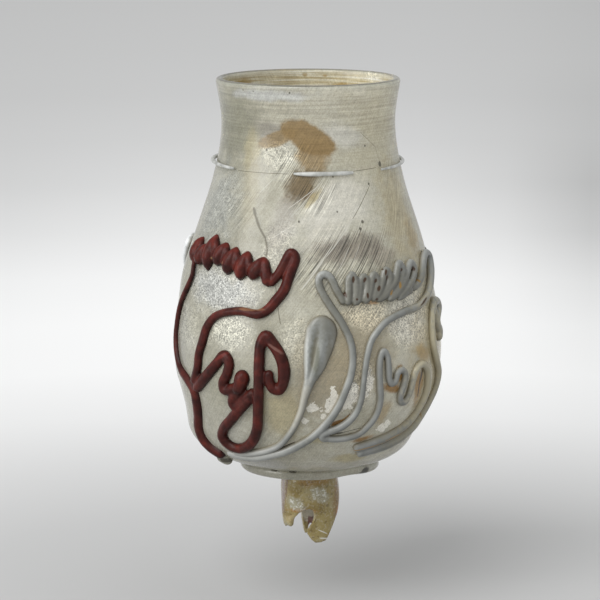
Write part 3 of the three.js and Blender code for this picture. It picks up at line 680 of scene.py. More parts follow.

# Tree that finishes fused glass: how far each point stands off the bare wall, how far it faces down
# and to the right for painted shade on those sides, then the material
finish_tree, given, result = new_tree(
    "finish of fused glass", {"Geometry": "Geometry", "Bowl": "Object", "Material": "Material"},
    {"Geometry": "Geometry"})
bare_wall = put(finish_tree, "GeometryNodeObjectInfo", {"Object": given["Bowl"]}).outputs["Geometry"]
nearest = put(finish_tree, "GeometryNodeProximity", {0: bare_wall}, target_element="FACES")
lift = put(finish_tree, "GeometryNodeStoreNamedAttribute", {
    "Geometry": given["Geometry"], "Name": "lift", "Value": nearest.outputs["Distance"]},
    data_type="FLOAT", domain="POINT")
outward = put(finish_tree, "GeometryNodeInputNormal").outputs[0]
# Painted shade: the sides that face down and to the right are marked to be darkened in the colour
lee = vector(finish_tree, "DOT_PRODUCT", outward, (0.75, 0.25, -0.75))
lee = put(finish_tree, "GeometryNodeStoreNamedAttribute", {
    "Geometry": lift.outputs[0], "Name": "lee", "Value": lee}, data_type="FLOAT", domain="POINT")
dress(finish_tree, lee.outputs[0], given, result)

belly_radius = 44.9
thread_step, blade_step = 0.4, 0.35
thread_facets, thread_wobble = 14, 0.22


def blend(t, start, low, end, high):
    """What lies between two values at a time."""
    return (end - t) / (end - start) * low + (t - start) / (end - start) * high


def smooth_path(corners, spacing, steps=24):
    """A smooth path through corners of any size, with even points, that doesn't overshoot."""
    corners = np.array(corners, float)
    knots = lengths_along(corners, 0.5)
    ends = np.vstack([2 * corners[0] - corners[1], corners, 2 * corners[-1] - corners[-2]])
    knots = np.concatenate([[-knots[1]], knots, [2 * knots[-1] - knots[-2]]])
    pieces = []
    for i in range(1, len(ends) - 2):
        k0, k1, k2, k3 = knots[i - 1:i + 3]
        p0, p1, p2, p3 = ends[i - 1:i + 3]
        t = np.linspace(k1, k2, steps, endpoint=False)[:, None]
        a1, a2, a3 = blend(t, k0, p0, k1, p1), blend(t, k1, p1, k2, p2), blend(t, k2, p2, k3, p3)
        pieces.append(blend(t, k1, blend(t, k0, a1, k2, a2), k2, blend(t, k1, a2, k3, a3)))
    return even_line(np.vstack(pieces + [corners[-1:]]), spacing)


def dealt_out(values, shares):
    """One value, or several dealt out evenly, along a path."""
    values = np.atleast_1d(values)
    return np.interp(shares, np.linspace(0, 1, len(values)), values)


def fullness(distance, size, least):
    """How full a rounded end is at a distance from its tip."""
    return np.sqrt(1 - (1 - np.clip(distance / size, least, 1)) ** 2)


def thread_points(stroke, turn=0, rise=0, sunk=0):
    """Where a stroke's thread runs on the flat wall, with its bead's radius and its lift."""
    per_degree = math.radians(belly_radius)
    corners = [(azimuth * per_degree, distance_up(height + rise)) for azimuth, height in stroke["path"]]
    along, marks = smooth_path(corners, thread_step)
    share = marks / marks[-1]
    radius = dealt_out(stroke["width"], share) / 2
    lift = stroke["lift"] if "lift" in stroke else stroke["proud"] - radius
    lift = lift + dealt_out(stroke.get("over", 0), share) - sunk
    for end in (marks, marks[-1] - marks):
        radius = radius * fullness(end, radius, 0.02)
    azimuths = np.radians(along[:, 0] / per_degree + turn)
    return np.stack([azimuths, along[:, 1] * MM, lift * MM], -1), radius * MM


def fuse(piece, fineness, settle):
    """Melts threads that cross into one skin, and lets it settle."""
    fused = piece.modifiers.new("fused", "REMESH")
    fused.mode = "VOXEL"
    fused.voxel_size = fineness * MM
    settled = piece.modifiers.new("settled", "SMOOTH")
    settled.iterations = settle
    settled.factor = 0.5


def lay_trails(name, strokes, material, turn, seed, rise=0, sunk=0, fineness=0.34, settle=2):
    """One fused piece of glass from several strokes laid on the wall."""
    points, edges, beads = [], [], []
    for stroke in strokes:
        line, radius = thread_points(stroke, turn, rise, sunk)
        edges += [(len(points) + i, len(points) + i + 1) for i in range(len(line) - 1)]
        points += list(line)
        beads += list(radius)
    piece = new_piece(name, points, [], edges)
    mark_points(piece, "bead", beads)
    add_tree(piece, trail_tree, Section=bowl_section, Facets=thread_facets, Wobble=thread_wobble,
             Seed=float(seed), Laid_on_the_wall=True)
    fuse(piece, fineness, settle)
    add_tree(piece, finish_tree, Bowl=bowl, Material=material)
    make_plain(piece)
    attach(piece, "root")
    return piece


red = {"proud": 2.1}
red_nibs = [
    [-66.5, 72], [-66.2, 81.2], [-62, 72], [-58.6, 79.6], [-54, 70.8], [-53.4, 83], [-47.6, 72.9],
    [-44.2, 81], [-40.6, 70.6], [-37.6, 80], [-33, 69.3], [-30.6, 79.1], [-27, 69.8], [-21.6, 77.6],
    [-18, 68]]
red_further_nibs = [[-84.5, 68], [-82.5, 75.8], [-77, 67.5], [-73, 74.5], [-69.5, 68], [-68, 76]]


def red_crest(nibs, slim):
    """The pinched crest as a row of spindles, thin ones down and thick ones up; the first few are slim."""
    down = {"width": [0.7, 2.6, 3.4, 3.6, 3.2, 1.9, 0.5], "over": [-0.5, 0.1, 0.3, 0.1, -0.4]}
    up = {"width": [0.6, 3.6, 4.9, 4.6, 3.9, 2.5, 0.5], "over": [-0.6, 0.5, 0.8, 0.6, -0.2]}
    last = {"width": [0.9, 3.2, 3.8, 3.9, 4.2, 4.1, 1], "over": [-0.5, 0.1, 0.3, 0.3, -0.4]}
    spindles = []
    for count, (start, end) in enumerate(zip(nibs, nibs[1:])):
        kind = up if end[1] > start[1] else last if end is nibs[-1] else down
        growth = min(1, 0.3 + 0.7 * (count + 1) / slim)
        spindles.append({
            "path": [start, [(start[0] + end[0]) / 2, (start[1] + end[1]) / 2], end],
            "width": [w * growth for w in kind["width"]], "lift": 0.3,
            "over": [o * growth for o in kind["over"]]})
    return spindles


red_outline = {
    "path": [[-65, 75.5], [-65, 72.2], [-64.6, 68.4], [-68, 63.9], [-73, 59], [-76, 53.6], [-77, 47.6],
             [-75, 42.2], [-71, 37.2], [-63, 33.6], [-58.8, 30.6], [-58.8, 26.9], [-60.8, 22.1],
             [-63.3, 17.9], [-63, 13.9], [-60, 10.9], [-56, 9.3], [-52.6, 8.5]],
    "width": [1.6, 1.7, 2, 2.1, 2.3, 2.7, 3.6, 4.3, 4.7, 4.5, 3.9],
    "proud": 2.1, "over": [0, -0.4, -0.7, -0.6, -0.2, 0, 0]}
red_brow = {
    "path": [[-18, 68.6], [-14.6, 71.5], [-11.2, 75.7], [-8.4, 79], [-6.4, 77.6], [-8.2, 73.3], [-11, 67.2],
             [-14.6, 63.7], [-18, 60.8], [-22, 59.3], [-30, 59.8], [-38, 58.8], [-44, 56.9], [-48, 53.4],
             [-50, 48.5], [-52, 44], [-53, 39.5], [-57, 33.5]],
    "width": [3, 3.4, 3.7, 3.6, 3.1, 2.8, 3.1, 3.1, 3.3], **red}
red_zigzag = {
    "path": [[-56.5, 31.4], [-46.8, 37.8], [-41.2, 42], [-37.2, 45], [-34.7, 42.9], [-35.8, 38.9], [-38, 36],
             [-37.8, 33.6], [-34.4, 33.9], [-31, 35.4]],
    "width": [3.4, 3.8, 3.7, 3.6, 3.8], **red}
red_eye = {"path": [[-27.6, 40.9], [-28.8, 37.4], [-31, 32.8]], "width": [5, 5.6, 4.6, 4], "proud": 2.9}
red_lip = {
    "path": [[-29.5, 34.2], [-32.4, 32], [-34.2, 29.9], [-33, 28.2], [-30, 29.6], [-26, 32.4], [-22, 34.2]],
    "width": [3.4, 3.6, 3.4, 3.4, 3.8], **red}
red_scroll = {
    "path": [[-24, 32.4], [-30, 28.2], [-36.6, 23.4], [-42.6, 19.4], [-44.6, 16.6], [-42, 14], [-36, 13.2],
             [-29, 15.4], [-24, 20.4], [-21.8, 27], [-20.6, 36.7], [-20.4, 44.2], [-20, 49.6],
             [-18, 52.6], [-15.6, 50.8], [-12.2, 47.2], [-10.2, 43], [-10.3, 38.2], [-12.2, 35.2],
             [-14.8, 35.8], [-16.2, 38.6], [-16, 41.8]],
    "width": [3.5, 3.7, 3.6, 3.6, 3.5, 3.8, 4.3, 2.9], "proud": 2.4, "over": [0, 0, 0, 0, 0.9, 0.3, 0, 0, 0]}
red_strokes = [red_outline, red_brow, red_zigzag, red_eye, red_lip, red_scroll]

# Chips and scars where the glass is paler: azimuth, height, half width, half height, tilt, share
# and colour
red_stains = [
    (-25, 61, 4, 0.5, 3, 0.8, (146, 104, 76)), (-50, 75.6, 0.6, 0.5, 0, 0.8, (160, 124, 92)),
    (-41.5, 75.1, 0.5, 0.5, 0, 0.8, (160, 118, 88)), (-67, 79, 0.7, 0.6, 0, 0.8, (150, 112, 90)),
    (-38, 44.6, 2.4, 0.6, 35, 0.6, (130, 50, 42)), (-62, 9.4, 2.4, 0.5, -30, 0.8, (168, 52, 42)),
    (-24, 44, 0.6, 4, 0, 0.6, (128, 48, 38)), (-13.5, 49, 2.4, 0.5, -35, 0.6, (150, 110, 100))]

red_glass, tree, shader = new_material("dark_red_glass")
point, flat = places(tree)
ragged = ragged_by(tree, point, 420.0, 3.0)
body = ramp(tree, noise(tree, point, 230.0, 4.0, rough=0.6), [
    (0.34, paint(54, 22, 18)), (0.48, paint(74, 29, 24)), (0.6, paint(92, 37, 30)),
    (0.72, paint(114, 47, 37))])
bloom = rising(tree, noise(tree, point, 330.0, 4.0, rough=0.7), 0.5, 0.72)
body = covered(tree, body, bloom, (96, 66, 56), 0.3)
# Painted shade: the red glass is darker low down near the wall, in the crease where the thread meets it
body = covered(tree, body, rising(tree, told(tree, "lift"), 1.3 * MM, 0.3 * MM), (44, 18, 15), 0.65)
thin_edges = patches(tree, flat, ragged, [
    (azimuth + 1, height - 0.4, 1.3, 1.7, -15) for azimuth, height in red_nibs if height > 76], soft=0.6)
body = covered(tree, body, thin_edges, (128, 48, 38), 0.55)
body = stained(tree, body, flat, ragged, red_stains)
# Painted shade: the red glass is darker on the sides that face down and to the right
shade = calc(tree, "MULTIPLY_ADD", told(tree, "lee"), -0.24, 0.64)
bump = put(tree, "ShaderNodeBump", {
    "Strength": 0.3, "Distance": 0.2 * MM, "Height": noise(tree, point, 700.0, 3.0)}).outputs[0]
body = vector(tree, "SCALE", body, shade)
feed(shader, {"Base Color": body, "Normal": bump, "Roughness": 0.34, "Specular IOR Level": 0.18})
for place_name, turn in {"front_left": 0, "back_right": 177}.items():
    crest = red_crest(red_nibs, 1)
    if turn:
        crest = red_crest(red_further_nibs + red_nibs, 10)
        red_outline["path"] = [[max(azimuth, -67), height] for azimuth, height in red_outline["path"]]
    motif = lay_trails(
        f"red_trails_{place_name}", crest + red_strokes, red_glass, turn, turn + 1, sunk=0.45 if turn else 0)
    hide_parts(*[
        f"red_{part}_trail_{place_name}" for part in ("crest", "outline", "brow", "zigzag", "scroll")])


# The white motif at the front right and its fellow at the back left face the red ones. Their
# crest is a tight row of standing loops, with brown earth caught in each loop.
white_cheek = {
    "path": [[-46, 11], [-39.5, 10.2], [-30, 10.1], [-20, 11.7], [-11.5, 13.5], [-4, 16.2], [1, 18.6],
             [5.3, 21.5], [9.4, 25.2], [12.8, 29.6], [15.6, 35.2], [17.5, 39.7], [18.4, 44.6], [18.2, 49],
             [17.2, 52], [15.6, 54.8], [13.8, 57.5], [11.1, 60.5], [8.6, 63.4], [6.6, 65.9], [5, 68.3],
             [4.6, 70.4], [5.6, 71.9], [7.5, 72.4], [9.5, 71.7], [11, 70], [12.6, 67.3], [14.4, 64.9],
             [16, 62.6]],
    "width": [2.4, 3.2, 3, 2.8, 2.8, 2.7, 2.6, 2.8, 2.8, 2.7], "proud": 1.8}
white_crest = {
    "path": [[16, 62.6], [17.2, 63.4], [17.9, 66.8], [18.5, 70.3], [20, 71.9], [21.4, 69.9], [21.4, 66.8],
             [20.7, 63], [21.9, 63.9], [23.1, 67.1], [24.1, 69.7], [25.7, 71], [27, 69.5], [26.6, 66.8],
             [25.1, 63.5], [26.6, 64.2], [28.1, 66.7], [29.2, 69.1], [31, 71.5], [32.5, 69.6], [31.6, 67],
             [29.4, 64], [31.3, 64.6], [33.6, 67], [35.6, 70], [38, 72.3], [39.7, 70.5], [38.5, 67.8],
             [35.3, 65.2], [32.3, 63.4], [35, 64.2], [38.4, 66.2], [41.8, 68.3], [44.2, 71.3], [46.8, 73.9],
             [48.6, 71.7], [47, 68.9], [43.4, 66.2], [38, 63.2], [41.2, 64.2], [45.4, 66.3], [49.3, 68.8],
             [52.4, 71.4], [55.8, 73.4], [57.7, 71.6], [55, 68.5], [49.6, 65.8], [43.4, 63.2], [47.7, 64.2],
             [53, 65]],
    "width": 2.65, "proud": 2.15, "over": [0, 0.2, -0.1, 0.2, -0.1, 0.2, -0.1, 0.3, -0.1, 0.3, -0.1, 0.3, 0]}
white_brow = {
    "path": [[53, 65], [58, 66], [63, 68], [66.9, 71], [70, 73.4], [75, 74.7], [79.8, 73], [78, 70.2],
             [75.6, 67.7], [72.4, 65.3], [67.5, 62.5], [62, 60.6], [55.5, 59.1], [47, 58.5], [40, 57.4],
             [34.4, 55.9], [30.2, 53.4], [27, 50.6], [24.9, 46.4], [23.6, 41.2], [23, 36.2], [22.4, 31.2],
             [20.9, 27.3], [17.5, 24], [13.3, 22], [9, 20.9], [6.4, 19.9], [6.8, 18.7], [9.5, 18.2]],
    "width": [2.6, 2.6, 2.6, 2.6, 2.5, 2.4, 2, 2.5, 2.7],
    "proud": 1.9, "over": [0, 0.3, 0.6, 0.2, 0, 0, 0, 0, 0]}
white_zigzag = {
    "path": [[8, 18.4], [13, 18.1], [18, 18.3], [24, 19.4], [28, 22.1], [31, 25.5], [32, 30.3], [31, 35.7],
             [30.4, 41.2], [31, 45], [32.6, 46.9], [34.4, 45], [35, 40.6], [35.6, 37.2], [37, 35.7],
             [38.8, 36.3], [39.8, 38.9], [42.2, 39.9], [44.3, 38.4], [44, 34.7], [42.8, 31.2], [44, 28.8],
             [46.6, 28.6], [48.4, 31], [49.6, 35.6], [51.6, 39], [55.4, 40.2], [60, 37.9], [62.2, 33.8],
             [63.2, 29.2], [61.8, 25.2], [58.5, 22], [52.6, 19.3], [43, 17], [34, 15.5], [27, 14.5],
             [22.5, 14]],
    "width": [2.5, 2.4, 2.4, 2.3, 2.4, 2.6, 3.3, 3.6, 3.4], "proud": 1.7}
white_outline = {
    "path": [[69.4, 57.6], [67.2, 54.1], [65.6, 50.4], [65.6, 45.8], [68.6, 40.7], [74.6, 34.7],
             [77, 29.3], [76, 24.4], [70.6, 20], [61.5, 17], [50, 14.6], [37, 13], [30, 12.4], [25, 12.2]],
    "width": [2.2, 2.6, 2.8, 3, 3.7, 4.3, 4.2, 3.8], "proud": 1.9}
white_strokes = [white_cheek, white_crest, white_brow, white_zigzag, white_outline]

# Where the white glass is yellower, greyer or brighter, together with painted shade and light:
# azimuth, height, half width, half height, tilt, share and colour
white_stains_and_painted_light = [
    (64, 38, 11, 24, 0, 0.75, (210, 200, 166)), (55, 15, 12, 4, 0, 0.5, (160, 155, 130)),
    # Painted shade darkens the crest and the cheek
    (32, 67, 20, 7, 0, 0.65, (108, 105, 92)), (12, 60, 8, 9, 0, 0.7, (108, 107, 97)),
    (-4, 30, 5, 9, 0, 0.6, (180, 176, 162)), (-30, 11, 16, 3, 0, 0.6, (170, 171, 166)),
    # Painted light brightens the back left motif's brow end. Painted shade lies in the leaf's groove and on
    # its right flank, and a painted highlight on its left edge
    (-106, 69, 16, 12, 0, 0.95, (220, 222, 223)), (2.8, 46.5, 1.3, 6, 0, 0.75, (104, 104, 88)),
    (8.4, 47, 0.9, 5, 0, 0.6, (110, 108, 94)), (-1.2, 48, 0.7, 9, 0, 0.7, (184, 187, 183))]

white_glass, tree, shader = new_material("opaque_white_glass")
point, flat = places(tree)
ragged = ragged_by(tree, point, 700.0, 3.0)
body = ramp(tree, noise(tree, point, 130.0, 4.0), [
    (0.32, paint(126, 128, 124)), (0.66, paint(154, 156, 153))])
body = stained(tree, body, flat, ragged, white_stains_and_painted_light, soft=0.6)
# Darker and browner near the wall: dirt in the crease together with painted shade there
body = covered(tree, body, rising(tree, told(tree, "lift"), 1.5 * MM, 0.2 * MM), (112, 100, 72), 0.75)
# Painted shade: the white glass is darker on the sides that face down and to the right, lighter on the others
shade = calc(tree, "MAXIMUM", calc(tree, "MULTIPLY_ADD", told(tree, "lee"), -0.42, 0.86), 0.4)
body = vector(tree, "SCALE", body, shade)

# Earth in the crest's loops and in the seams: azimuth, height, half width, half height, tilt
earth_places = [
    (20, 70.7, 0.4, 1.1, 0), (25.5, 70.3, 0.45, 0.9, -20), (31, 69.8, 0.5, 0.8, -30), (37, 70.3, 0.5, 1, -20),
    (46.5, 72.2, 0.6, 0.6, 0), (55.5, 71.7, 0.8, 0.7, 0), (15.8, 66.4, 0.5, 1.4, 20), (21, 64.4, 0.4, 0.4, 0),
    (26, 65.4, 0.4, 0.9, 0), (32, 67.3, 0.5, 0.9, -30), (30.5, 63.9, 0.5, 0.5, 0), (35.5, 73.2, 0.5, 0.4, 0),
    (36.6, 72.2, 0.4, 1, -20), (72.6, 71.5, 0.5, 2.6, 0), (59, 60.6, 2.4, 0.3, 25)]
rust_places = [
    (58, 68.3, 0.5, 1.4, 25), (44, 67.5, 0.4, 1, -25), (61.8, 50, 0.4, 6.5, 0), (38.5, 65.6, 0.4, 1, -30),
    (51, 17.2, 8, 0.25, 12), (70, 24, 0.4, 4, -12)]
strand_line = [(67, 36), (67, 28), (61, 20.4), (50, 17), (40, 14.9), (23, 13.2)]
calm = calc(tree, "MULTIPLY", ragged, 0.6)
between = scratches(tree, flat, [(*ends, 0.55) for ends in zip(strand_line, strand_line[1:])], 0.2)
rust = patches(tree, flat, calm, rust_places, soft=0.3)
rust = calc(tree, "MAXIMUM", rust, calc(tree, "MULTIPLY", between, 0.8))
body = covered(tree, body, rust, (150, 116, 58))
body = covered(tree, body, patches(tree, flat, calm, earth_places, soft=0.3), (66, 44, 24))
feed(shader, {"Base Color": body, "Roughness": 0.28})
for place_name, (turn, rise) in {"front_right": (0, 0), "back_left": (-178, 2.6)}.items():
    motif = lay_trails(
        f"white_trails_{place_name}", white_strokes, white_glass, turn, turn + 7, rise=rise, fineness=0.3)
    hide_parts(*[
        f"white_{part}_trail_{place_name}" for part in ("crest", "cheek", "brow", "zigzag", "outline")])

# The upper end of the white outline hooks over at the right edge and hangs down beside it, where
# it thickens into a drop.
white_hook = {
    "path": [[68.4, 54.4], [70, 56.7], [73, 58.4], [77, 58.4], [79.4, 56.6], [77, 54.6], [74.6, 52.6],
             [75.4, 50.6], [77.2, 48.8], [76.4, 47.2], [73.6, 46.4]],
    "width": [2.6, 3, 3.2, 3.2, 3.2, 3.2, 3.9, 4.8, 4.2, 2.8], "proud": 1.9,
    "over": [0, 0, 0.2, 0.3, 0.2, 0, -0.2, -0.2, -0.2]}
hook_core = {"path": [[72.6, 57.4], [73.8, 54.4], [73.4, 50.6]], "width": 3.2, "proud": 1.5}
hook = lay_trails("white_hook_right", [white_hook, hook_core], white_glass, 0, 31, fineness=0.3)
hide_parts("leaf_right")


# The leaf is a large drop of white glass, pressed flat and drawn out into a tail, with grooves
# along its blade from the pinching tool.
sheet_tree, given, result = new_tree(
    "blade on the wall", {"Geometry": "Geometry", "Section": "Object"}, {"Geometry": "Geometry"})
flat_point = put(sheet_tree, "GeometryNodeInputPosition").outputs[0]
on_wall = put(sheet_tree, "GeometryNodeSetPosition", {
    "Geometry": given["Geometry"], "Position": on_the_wall(sheet_tree, given, flat_point)})
whole = put(sheet_tree, "GeometryNodeRealizeInstances", {0: on_wall.outputs[0]})
sheet_tree.links.new(whole.outputs[0], result["Geometry"])


blade_columns = 30
blade_grooves = ((0.22, 0.17, 1), (-0.42, 0.1, 0.45), (-0.72, 0.1, 0.3))
groove_places, groove_depths = [0, 0.68, 0.78, 0.88, 0.97, 1], [0, 0, 1, 0.9, 0.2, 0]


def lay_blade(name, path, widths, rises, groove, material, sink=0.9):
    """A closed blade on the wall: rows across a path, domed and grooved, with its underside sunk."""
    per_degree = math.radians(belly_radius)
    along, marks = smooth_path([(a * per_degree, distance_up(h)) for a, h in path], blade_step)
    share = marks / marks[-1]
    half, rise = dealt_out(widths, share) / 2, dealt_out(rises, share)
    for end in (marks, marks[-1] - marks):
        drawn = fullness(end, np.maximum(half, 0.8), 0.03)
        half, rise = half * drawn, rise * drawn ** 0.7
    forward = np.gradient(along[:, :2], axis=0)
    forward /= np.linalg.norm(forward, axis=1)[:, None]
    points = []
    for (x, y), (fx, fy), h, top, s in zip(along[:, :2], forward, half, rise, share):
        depth = groove * np.interp(s, groove_places, groove_depths)
        for step in range(blade_columns):
            turn = 2 * math.pi * step / blade_columns
            across, up = math.cos(turn), math.sin(turn)
            lift = top * up if up > 0 else sink * up
            if up > 0:
                lift -= depth * top * sum(
                    cut * math.exp(-((across - place) / wide) ** 2) for place, wide, cut in blade_grooves)
            aside, way_up = x - fy * across * h, y + fx * across * h
            points.append((math.radians(aside / per_degree), way_up * MM, lift * MM))
    faces = [(r + c, r + beside, r + blade_columns + beside, r + blade_columns + c)
             for r in range(0, len(points) - blade_columns, blade_columns)
             for c, beside in ((c, (c + 1) % blade_columns) for c in range(blade_columns))]
    faces += [tuple(range(blade_columns))[::-1], tuple(range(len(points) - blade_columns, len(points)))]
    piece = new_piece(name, points, faces)
    add_tree(piece, sheet_tree, Section=bowl_section)
    add_tree(piece, finish_tree, Bowl=bowl, Material=material)
    make_plain(piece)
    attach(piece, "root")
    return piece


leaf = lay_blade(
    "leaf_front",
    [[-42, 10.9], [-36, 11.1], [-29, 11.9], [-20, 13.6], [-14, 15.7], [-9.2, 19.3], [-6, 23],
     [-3, 28.3], [-1.5, 33.2], [0.2, 37.7], [2.2, 42.7], [3.8, 48.2], [5.4, 53.6], [6.2, 59.4]],
    [2.4, 2.6, 2.6, 2.6, 2.5, 2.5, 2.5, 2.6, 2.8, 3.8, 7.4, 9.7, 10.7, 10.2],
    [1.4, 1.6, 1.7, 1.7, 1.8, 1.8, 2, 2.1, 2], 0.75, white_glass)
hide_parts("leaf_front")

# A small drop of the bowl's own clear glass sits on the heel at the lower left, at the end of the
# red thread, where it was let fall hot.
drop_stroke = {"path": [[-59.6, 8.4], [-59, 6.8], [-58.8, 5.4]], "width": [3, 3.8, 3.4], "proud": 2.3}
drop = lay_trails("clear_drop_glass", [drop_stroke], old_glass, 0, 5)
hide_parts("clear_drop")

# A hair-thin thread of white glass was wound once round the neck. Two stretches of it have worn away
# at the front.
pale_thread, tree, shader = new_material("pale_thread_glass")
point, flat = places(tree)
body = ramp(tree, noise(tree, point, 260.0, 3.0), [(0.35, paint(150, 151, 146)), (0.6, paint(205, 206, 202))])
feed(shader, {"Base Color": body, "Roughness": 0.25})
thread_height, thread_sway = 104.6, 0.8
for place_name, (start, end) in {"front": (-9, 28), "back": (49, 310)}.items():
    stretch_path = [
        [azimuth, thread_height - thread_sway * math.cos(math.radians(azimuth - 10))]
        for azimuth in np.linspace(start, end, 3 + round((end - start) / 9))]
    thread = lay_trails(f"neck_thread_{place_name}", [{
        "path": stretch_path, "width": [0.8, 1.3, 1.5, 1.5, 1.4, 1.4, 1.5, 0.9], "proud": 1.2,
        "over": [0] if place_name == "front" else [0, 0.3, 0, 0, 0.2, 0.9, 0.2]}],
        pale_thread, 0, 40 + start, fineness=0.2, settle=1)
    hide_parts(f"neck_thread_{place_name}")


# The foot ring is a thick thread wound once under the bowl while hot. Its end laps over its start
# at the right, and it was pressed flat below.
ring_radius, ring_width, ring_height = 21.2, 3.9, 3.6
ring_start, ring_end, ring_rows, ring_flat = 54, 446, 260, 0.02
lap_start, lap_length, lap_out = 396, 36, 1.2
rise_middle, rise_length, lap_rise = 399, 16, 0.7
ring_turns = np.linspace(ring_start, ring_end, ring_rows)
ring_out = ring_radius + lap_out * np.clip((ring_turns - lap_start) / lap_length, 0, 1) ** 1.2
ring_beads = np.full(len(ring_turns), ring_width / 2)
ring_middle = ring_height / 2 + lap_rise * np.exp(-((ring_turns - rise_middle) / rise_length) ** 2)
ring_reach = np.radians(ring_turns - ring_turns[0]) * ring_radius
for end in (ring_reach, ring_reach[-1] - ring_reach):
    ring_beads *= fullness(end, 2, 0.05)
ring_points = [
    (r * MM * math.sin(math.radians(t)), -r * MM * math.cos(math.radians(t)), z * MM)
    for r, t, z in zip(ring_out, ring_turns, ring_middle)]
ring = new_piece("foot_ring_glass", ring_points, [], [(i, i + 1) for i in range(len(ring_turns) - 1)])
mark_points(ring, "bead", ring_beads * MM)
add_tree(ring, trail_tree, Section=bowl_section, Facets=20, Wobble=0.12, Seed=3.0, Laid_on_the_wall=False)
fuse(ring, 0.4, 3)
add_tree(ring, finish_tree, Bowl=bowl, Material=old_glass)
make_plain(ring)
for point in ring.data.vertices:
    point.co.z = min(max(point.co.z, ring_flat * MM), ring_height * MM)
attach(ring, "root")
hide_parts("foot_ring")


# The stem was a hollow blown knop. It broke off long ago, so its ragged edge shows the thickness
# of the glass, and an arched notch opens at the front.
knop_radius, knop_height, tip_radius, tip_height = 9.85, -8, 6.4, -26.4
stem_wall, stem_top, stem_crown, stem_aside = 1.7, 2.9, 1.5, 0.5
stem_break = [
    [-180, -22], [-177, -22.4], [-174, -24.6], [-167, -24.9], [-163, -23.5], [-160, -18.5], [-152, -16.5],
    [-138, -15.2], [-120, -15.5], [-104, -17.8], [-90, -20.4], [-76, -20.3], [-66, -20], [-54, -19.8],
    [-46, -19.4], [-40, -17.2], [-24, -14.4], [-10, -13.1], [0, -12.8], [7, -13.4], [11, -15.5], [14, -19],
    [18, -22], [24, -24], [32, -25.4], [42, -25.6], [52, -24.8], [60, -23.2], [68, -21.2], [78, -18.4],
    [92, -17], [106, -17.5], [124, -16.5], [140, -16.5], [156, -18.5], [164, -20.6], [172, -21.8], [180, -22]]


def stem_radius_at(height):
    share = (height - knop_height) / (tip_height - knop_height)
    return knop_radius + (tip_radius - knop_radius) * share * share


stem_turns, stem_rows = 160, 46
lobe_top, lobe_left, lobe_middle, lobe_fade, lobe_swing = -17, -20, 14, 34, 27
corner_turns, corner_heights = zip(*stem_break)
chip_size, chip_spacing, lump_size, lump_count, inner_edge = 0.28, 4, 0.16, 5, 0.25
edge_round, round_from, round_length = 0.45, 0.93, 0.07
rough = np.random.default_rng(5)
chips = np.interp(
    np.arange(stem_turns), np.arange(0, stem_turns + chip_spacing, chip_spacing),
    rough.normal(0, chip_size, stem_turns // chip_spacing + 1))
lumps = rough.normal(0, 1, (lump_count, 3)) * lump_size


def stem_point(azimuth, height, inset):
    turn = math.radians(azimuth)
    swell = sum(a * math.sin((k + 1) * turn + b * 9 + height * c * 2) for k, (a, b, c) in enumerate(lumps))
    radius = stem_radius_at(height) - inset + swell * min(1, max(0, (stem_top - height) / 4))
    lobe = max(0, min(1, (lobe_top - height) / 4)) * (azimuth > lobe_left)
    lobe *= max(0, 1 - max(0, azimuth - lobe_middle) / lobe_fade)
    turn -= math.radians(lobe_swing) * lobe
    return ((stem_aside + radius * math.sin(turn)) * MM, -radius * math.cos(turn) * MM, height * MM)


stem_points = []
down = np.linspace(0, 1, stem_rows)
for inset, top, lower, shares in (
        (0, stem_top, 0, down), (stem_wall, stem_top - stem_crown, inner_edge, np.linspace(1, 0, stem_rows))):
    for share in shares:
        for step in range(stem_turns):
            azimuth = 360 * step / stem_turns - 180
            edge = np.interp(azimuth, corner_turns, corner_heights) + chips[step] + lower
            round_over = edge_round * max(0, (share - round_from) / round_length) ** 2
            stem_points.append(stem_point(
                azimuth, top + (edge - top) * share, inset + (round_over if inset == 0 else -round_over)))
stem_faces = []
for row in range(2 * stem_rows - 1):
    for step in range(stem_turns):
        beside = (step + 1) % stem_turns
        a, b = row * stem_turns, (row + 1) * stem_turns
        stem_faces.append((a + step, b + step, b + beside, a + beside))
stem_faces.append(tuple(range(stem_turns)))
stem_faces.append(tuple(range((2 * stem_rows - 1) * stem_turns, 2 * stem_rows * stem_turns))[::-1])

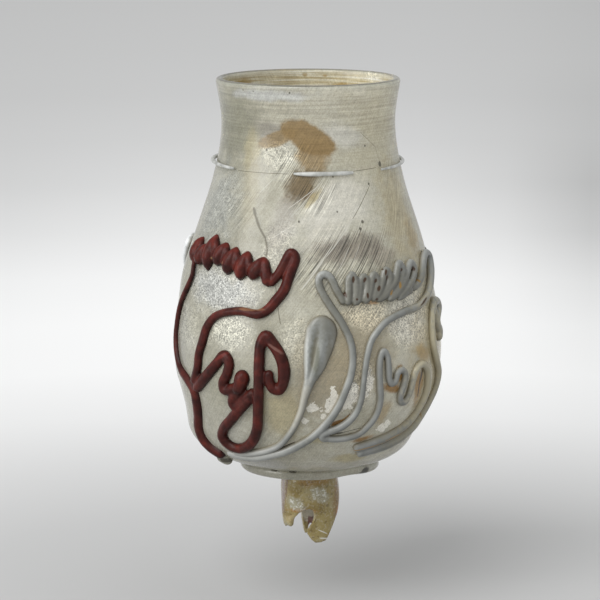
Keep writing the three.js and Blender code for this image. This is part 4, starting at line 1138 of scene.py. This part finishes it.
# Clouds in the olive glass: azimuth, height, half width, half height, tilt, share and colour
stem_stains = [
    (-66, -8, 9, 7, 0, 0.85, (160, 138, 132)), (-48, -4, 3, 5, 0, 0.8, (120, 84, 54)),
    (10, -3, 22, 2.2, 0, 0.6, (176, 136, 66)), (74, -10, 9, 8, 0, 0.75, (152, 118, 68)),
    (80, -15, 4, 2, 0, 0.7, (196, 130, 66)), (38, -19, 14, 6, 0, 0.6, (176, 158, 96)),
    (176, -16, 22, 5, 0, 0.8, (226, 220, 206)), (-176, -16, 22, 5, 0, 0.8, (226, 220, 206)),
    (174, -21.4, 10, 2, 0, 0.9, (124, 80, 74)), (-12, -13.6, 22, 0.8, 0, 0.8, (176, 132, 66)),
    (-35, -17, 14, 1.6, 0, 0.7, (206, 188, 140)), (2, -15.5, 10, 2, 0, 0.6, (214, 206, 178))]
olive_glass, tree, shader = new_material("olive_stem_glass")
point, flat = places(tree)
ragged = ragged_by(tree, point, 420.0, 4.0, 0.65)
body = ramp(tree, noise(tree, point, 170.0, 4.0), [
    (0.34, paint(150, 130, 74)), (0.5, paint(172, 155, 101)), (0.68, paint(185, 173, 130))])
body = stained(tree, body, flat, ragged, stem_stains, soft=0.35)
silver = patches(tree, flat, ragged, [(-24, -11.2, 13, 2.4, -5), (26, -8.4, 13, 2.6, -5)])
body = covered(tree, body, silver, (196, 198, 186), 0.5)
flash = rising(tree, noise(tree, point, 1100.0, 3.0, rough=0.7), 0.54, 0.62)
flash = calc(tree, "MULTIPLY", flash, calc(tree, "MULTIPLY_ADD", silver, 0.75, 0.2))
body = covered(tree, body, flash, (246, 245, 236))
grime = rising(tree, noise(tree, point, 650.0, 3.0, rough=0.7), 0.42, 0.34)
body = covered(tree, body, grime, (96, 72, 44), 0.5)
# Painted highlights: two bright lines along the lower edges of the broken lobe
for ends in (((24, -20.5), (52, -22.5), 0.5), ((30, -23.6), (60, -24.4), 0.7)):
    body = covered(tree, body, scratch(tree, flat, *ends), (250, 248, 238))
relief = calc(tree, "MULTIPLY_ADD", noise(tree, point, 800.0, 3.0), 0.5, noise(tree, point, 260.0, 2.0))
bump = put(tree, "ShaderNodeBump", {"Strength": 0.6, "Distance": 0.4 * MM, "Height": relief}).outputs[0]
feed(shader, {"Base Color": body, "Normal": bump, "Roughness": 0.14, "Transmission Weight": 0.3})
stem = new_piece("broken_stem", stem_points, stem_faces)
stem.data.materials.append(olive_glass)
stem.data.shade_smooth()
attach(stem, "root")
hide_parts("stem")
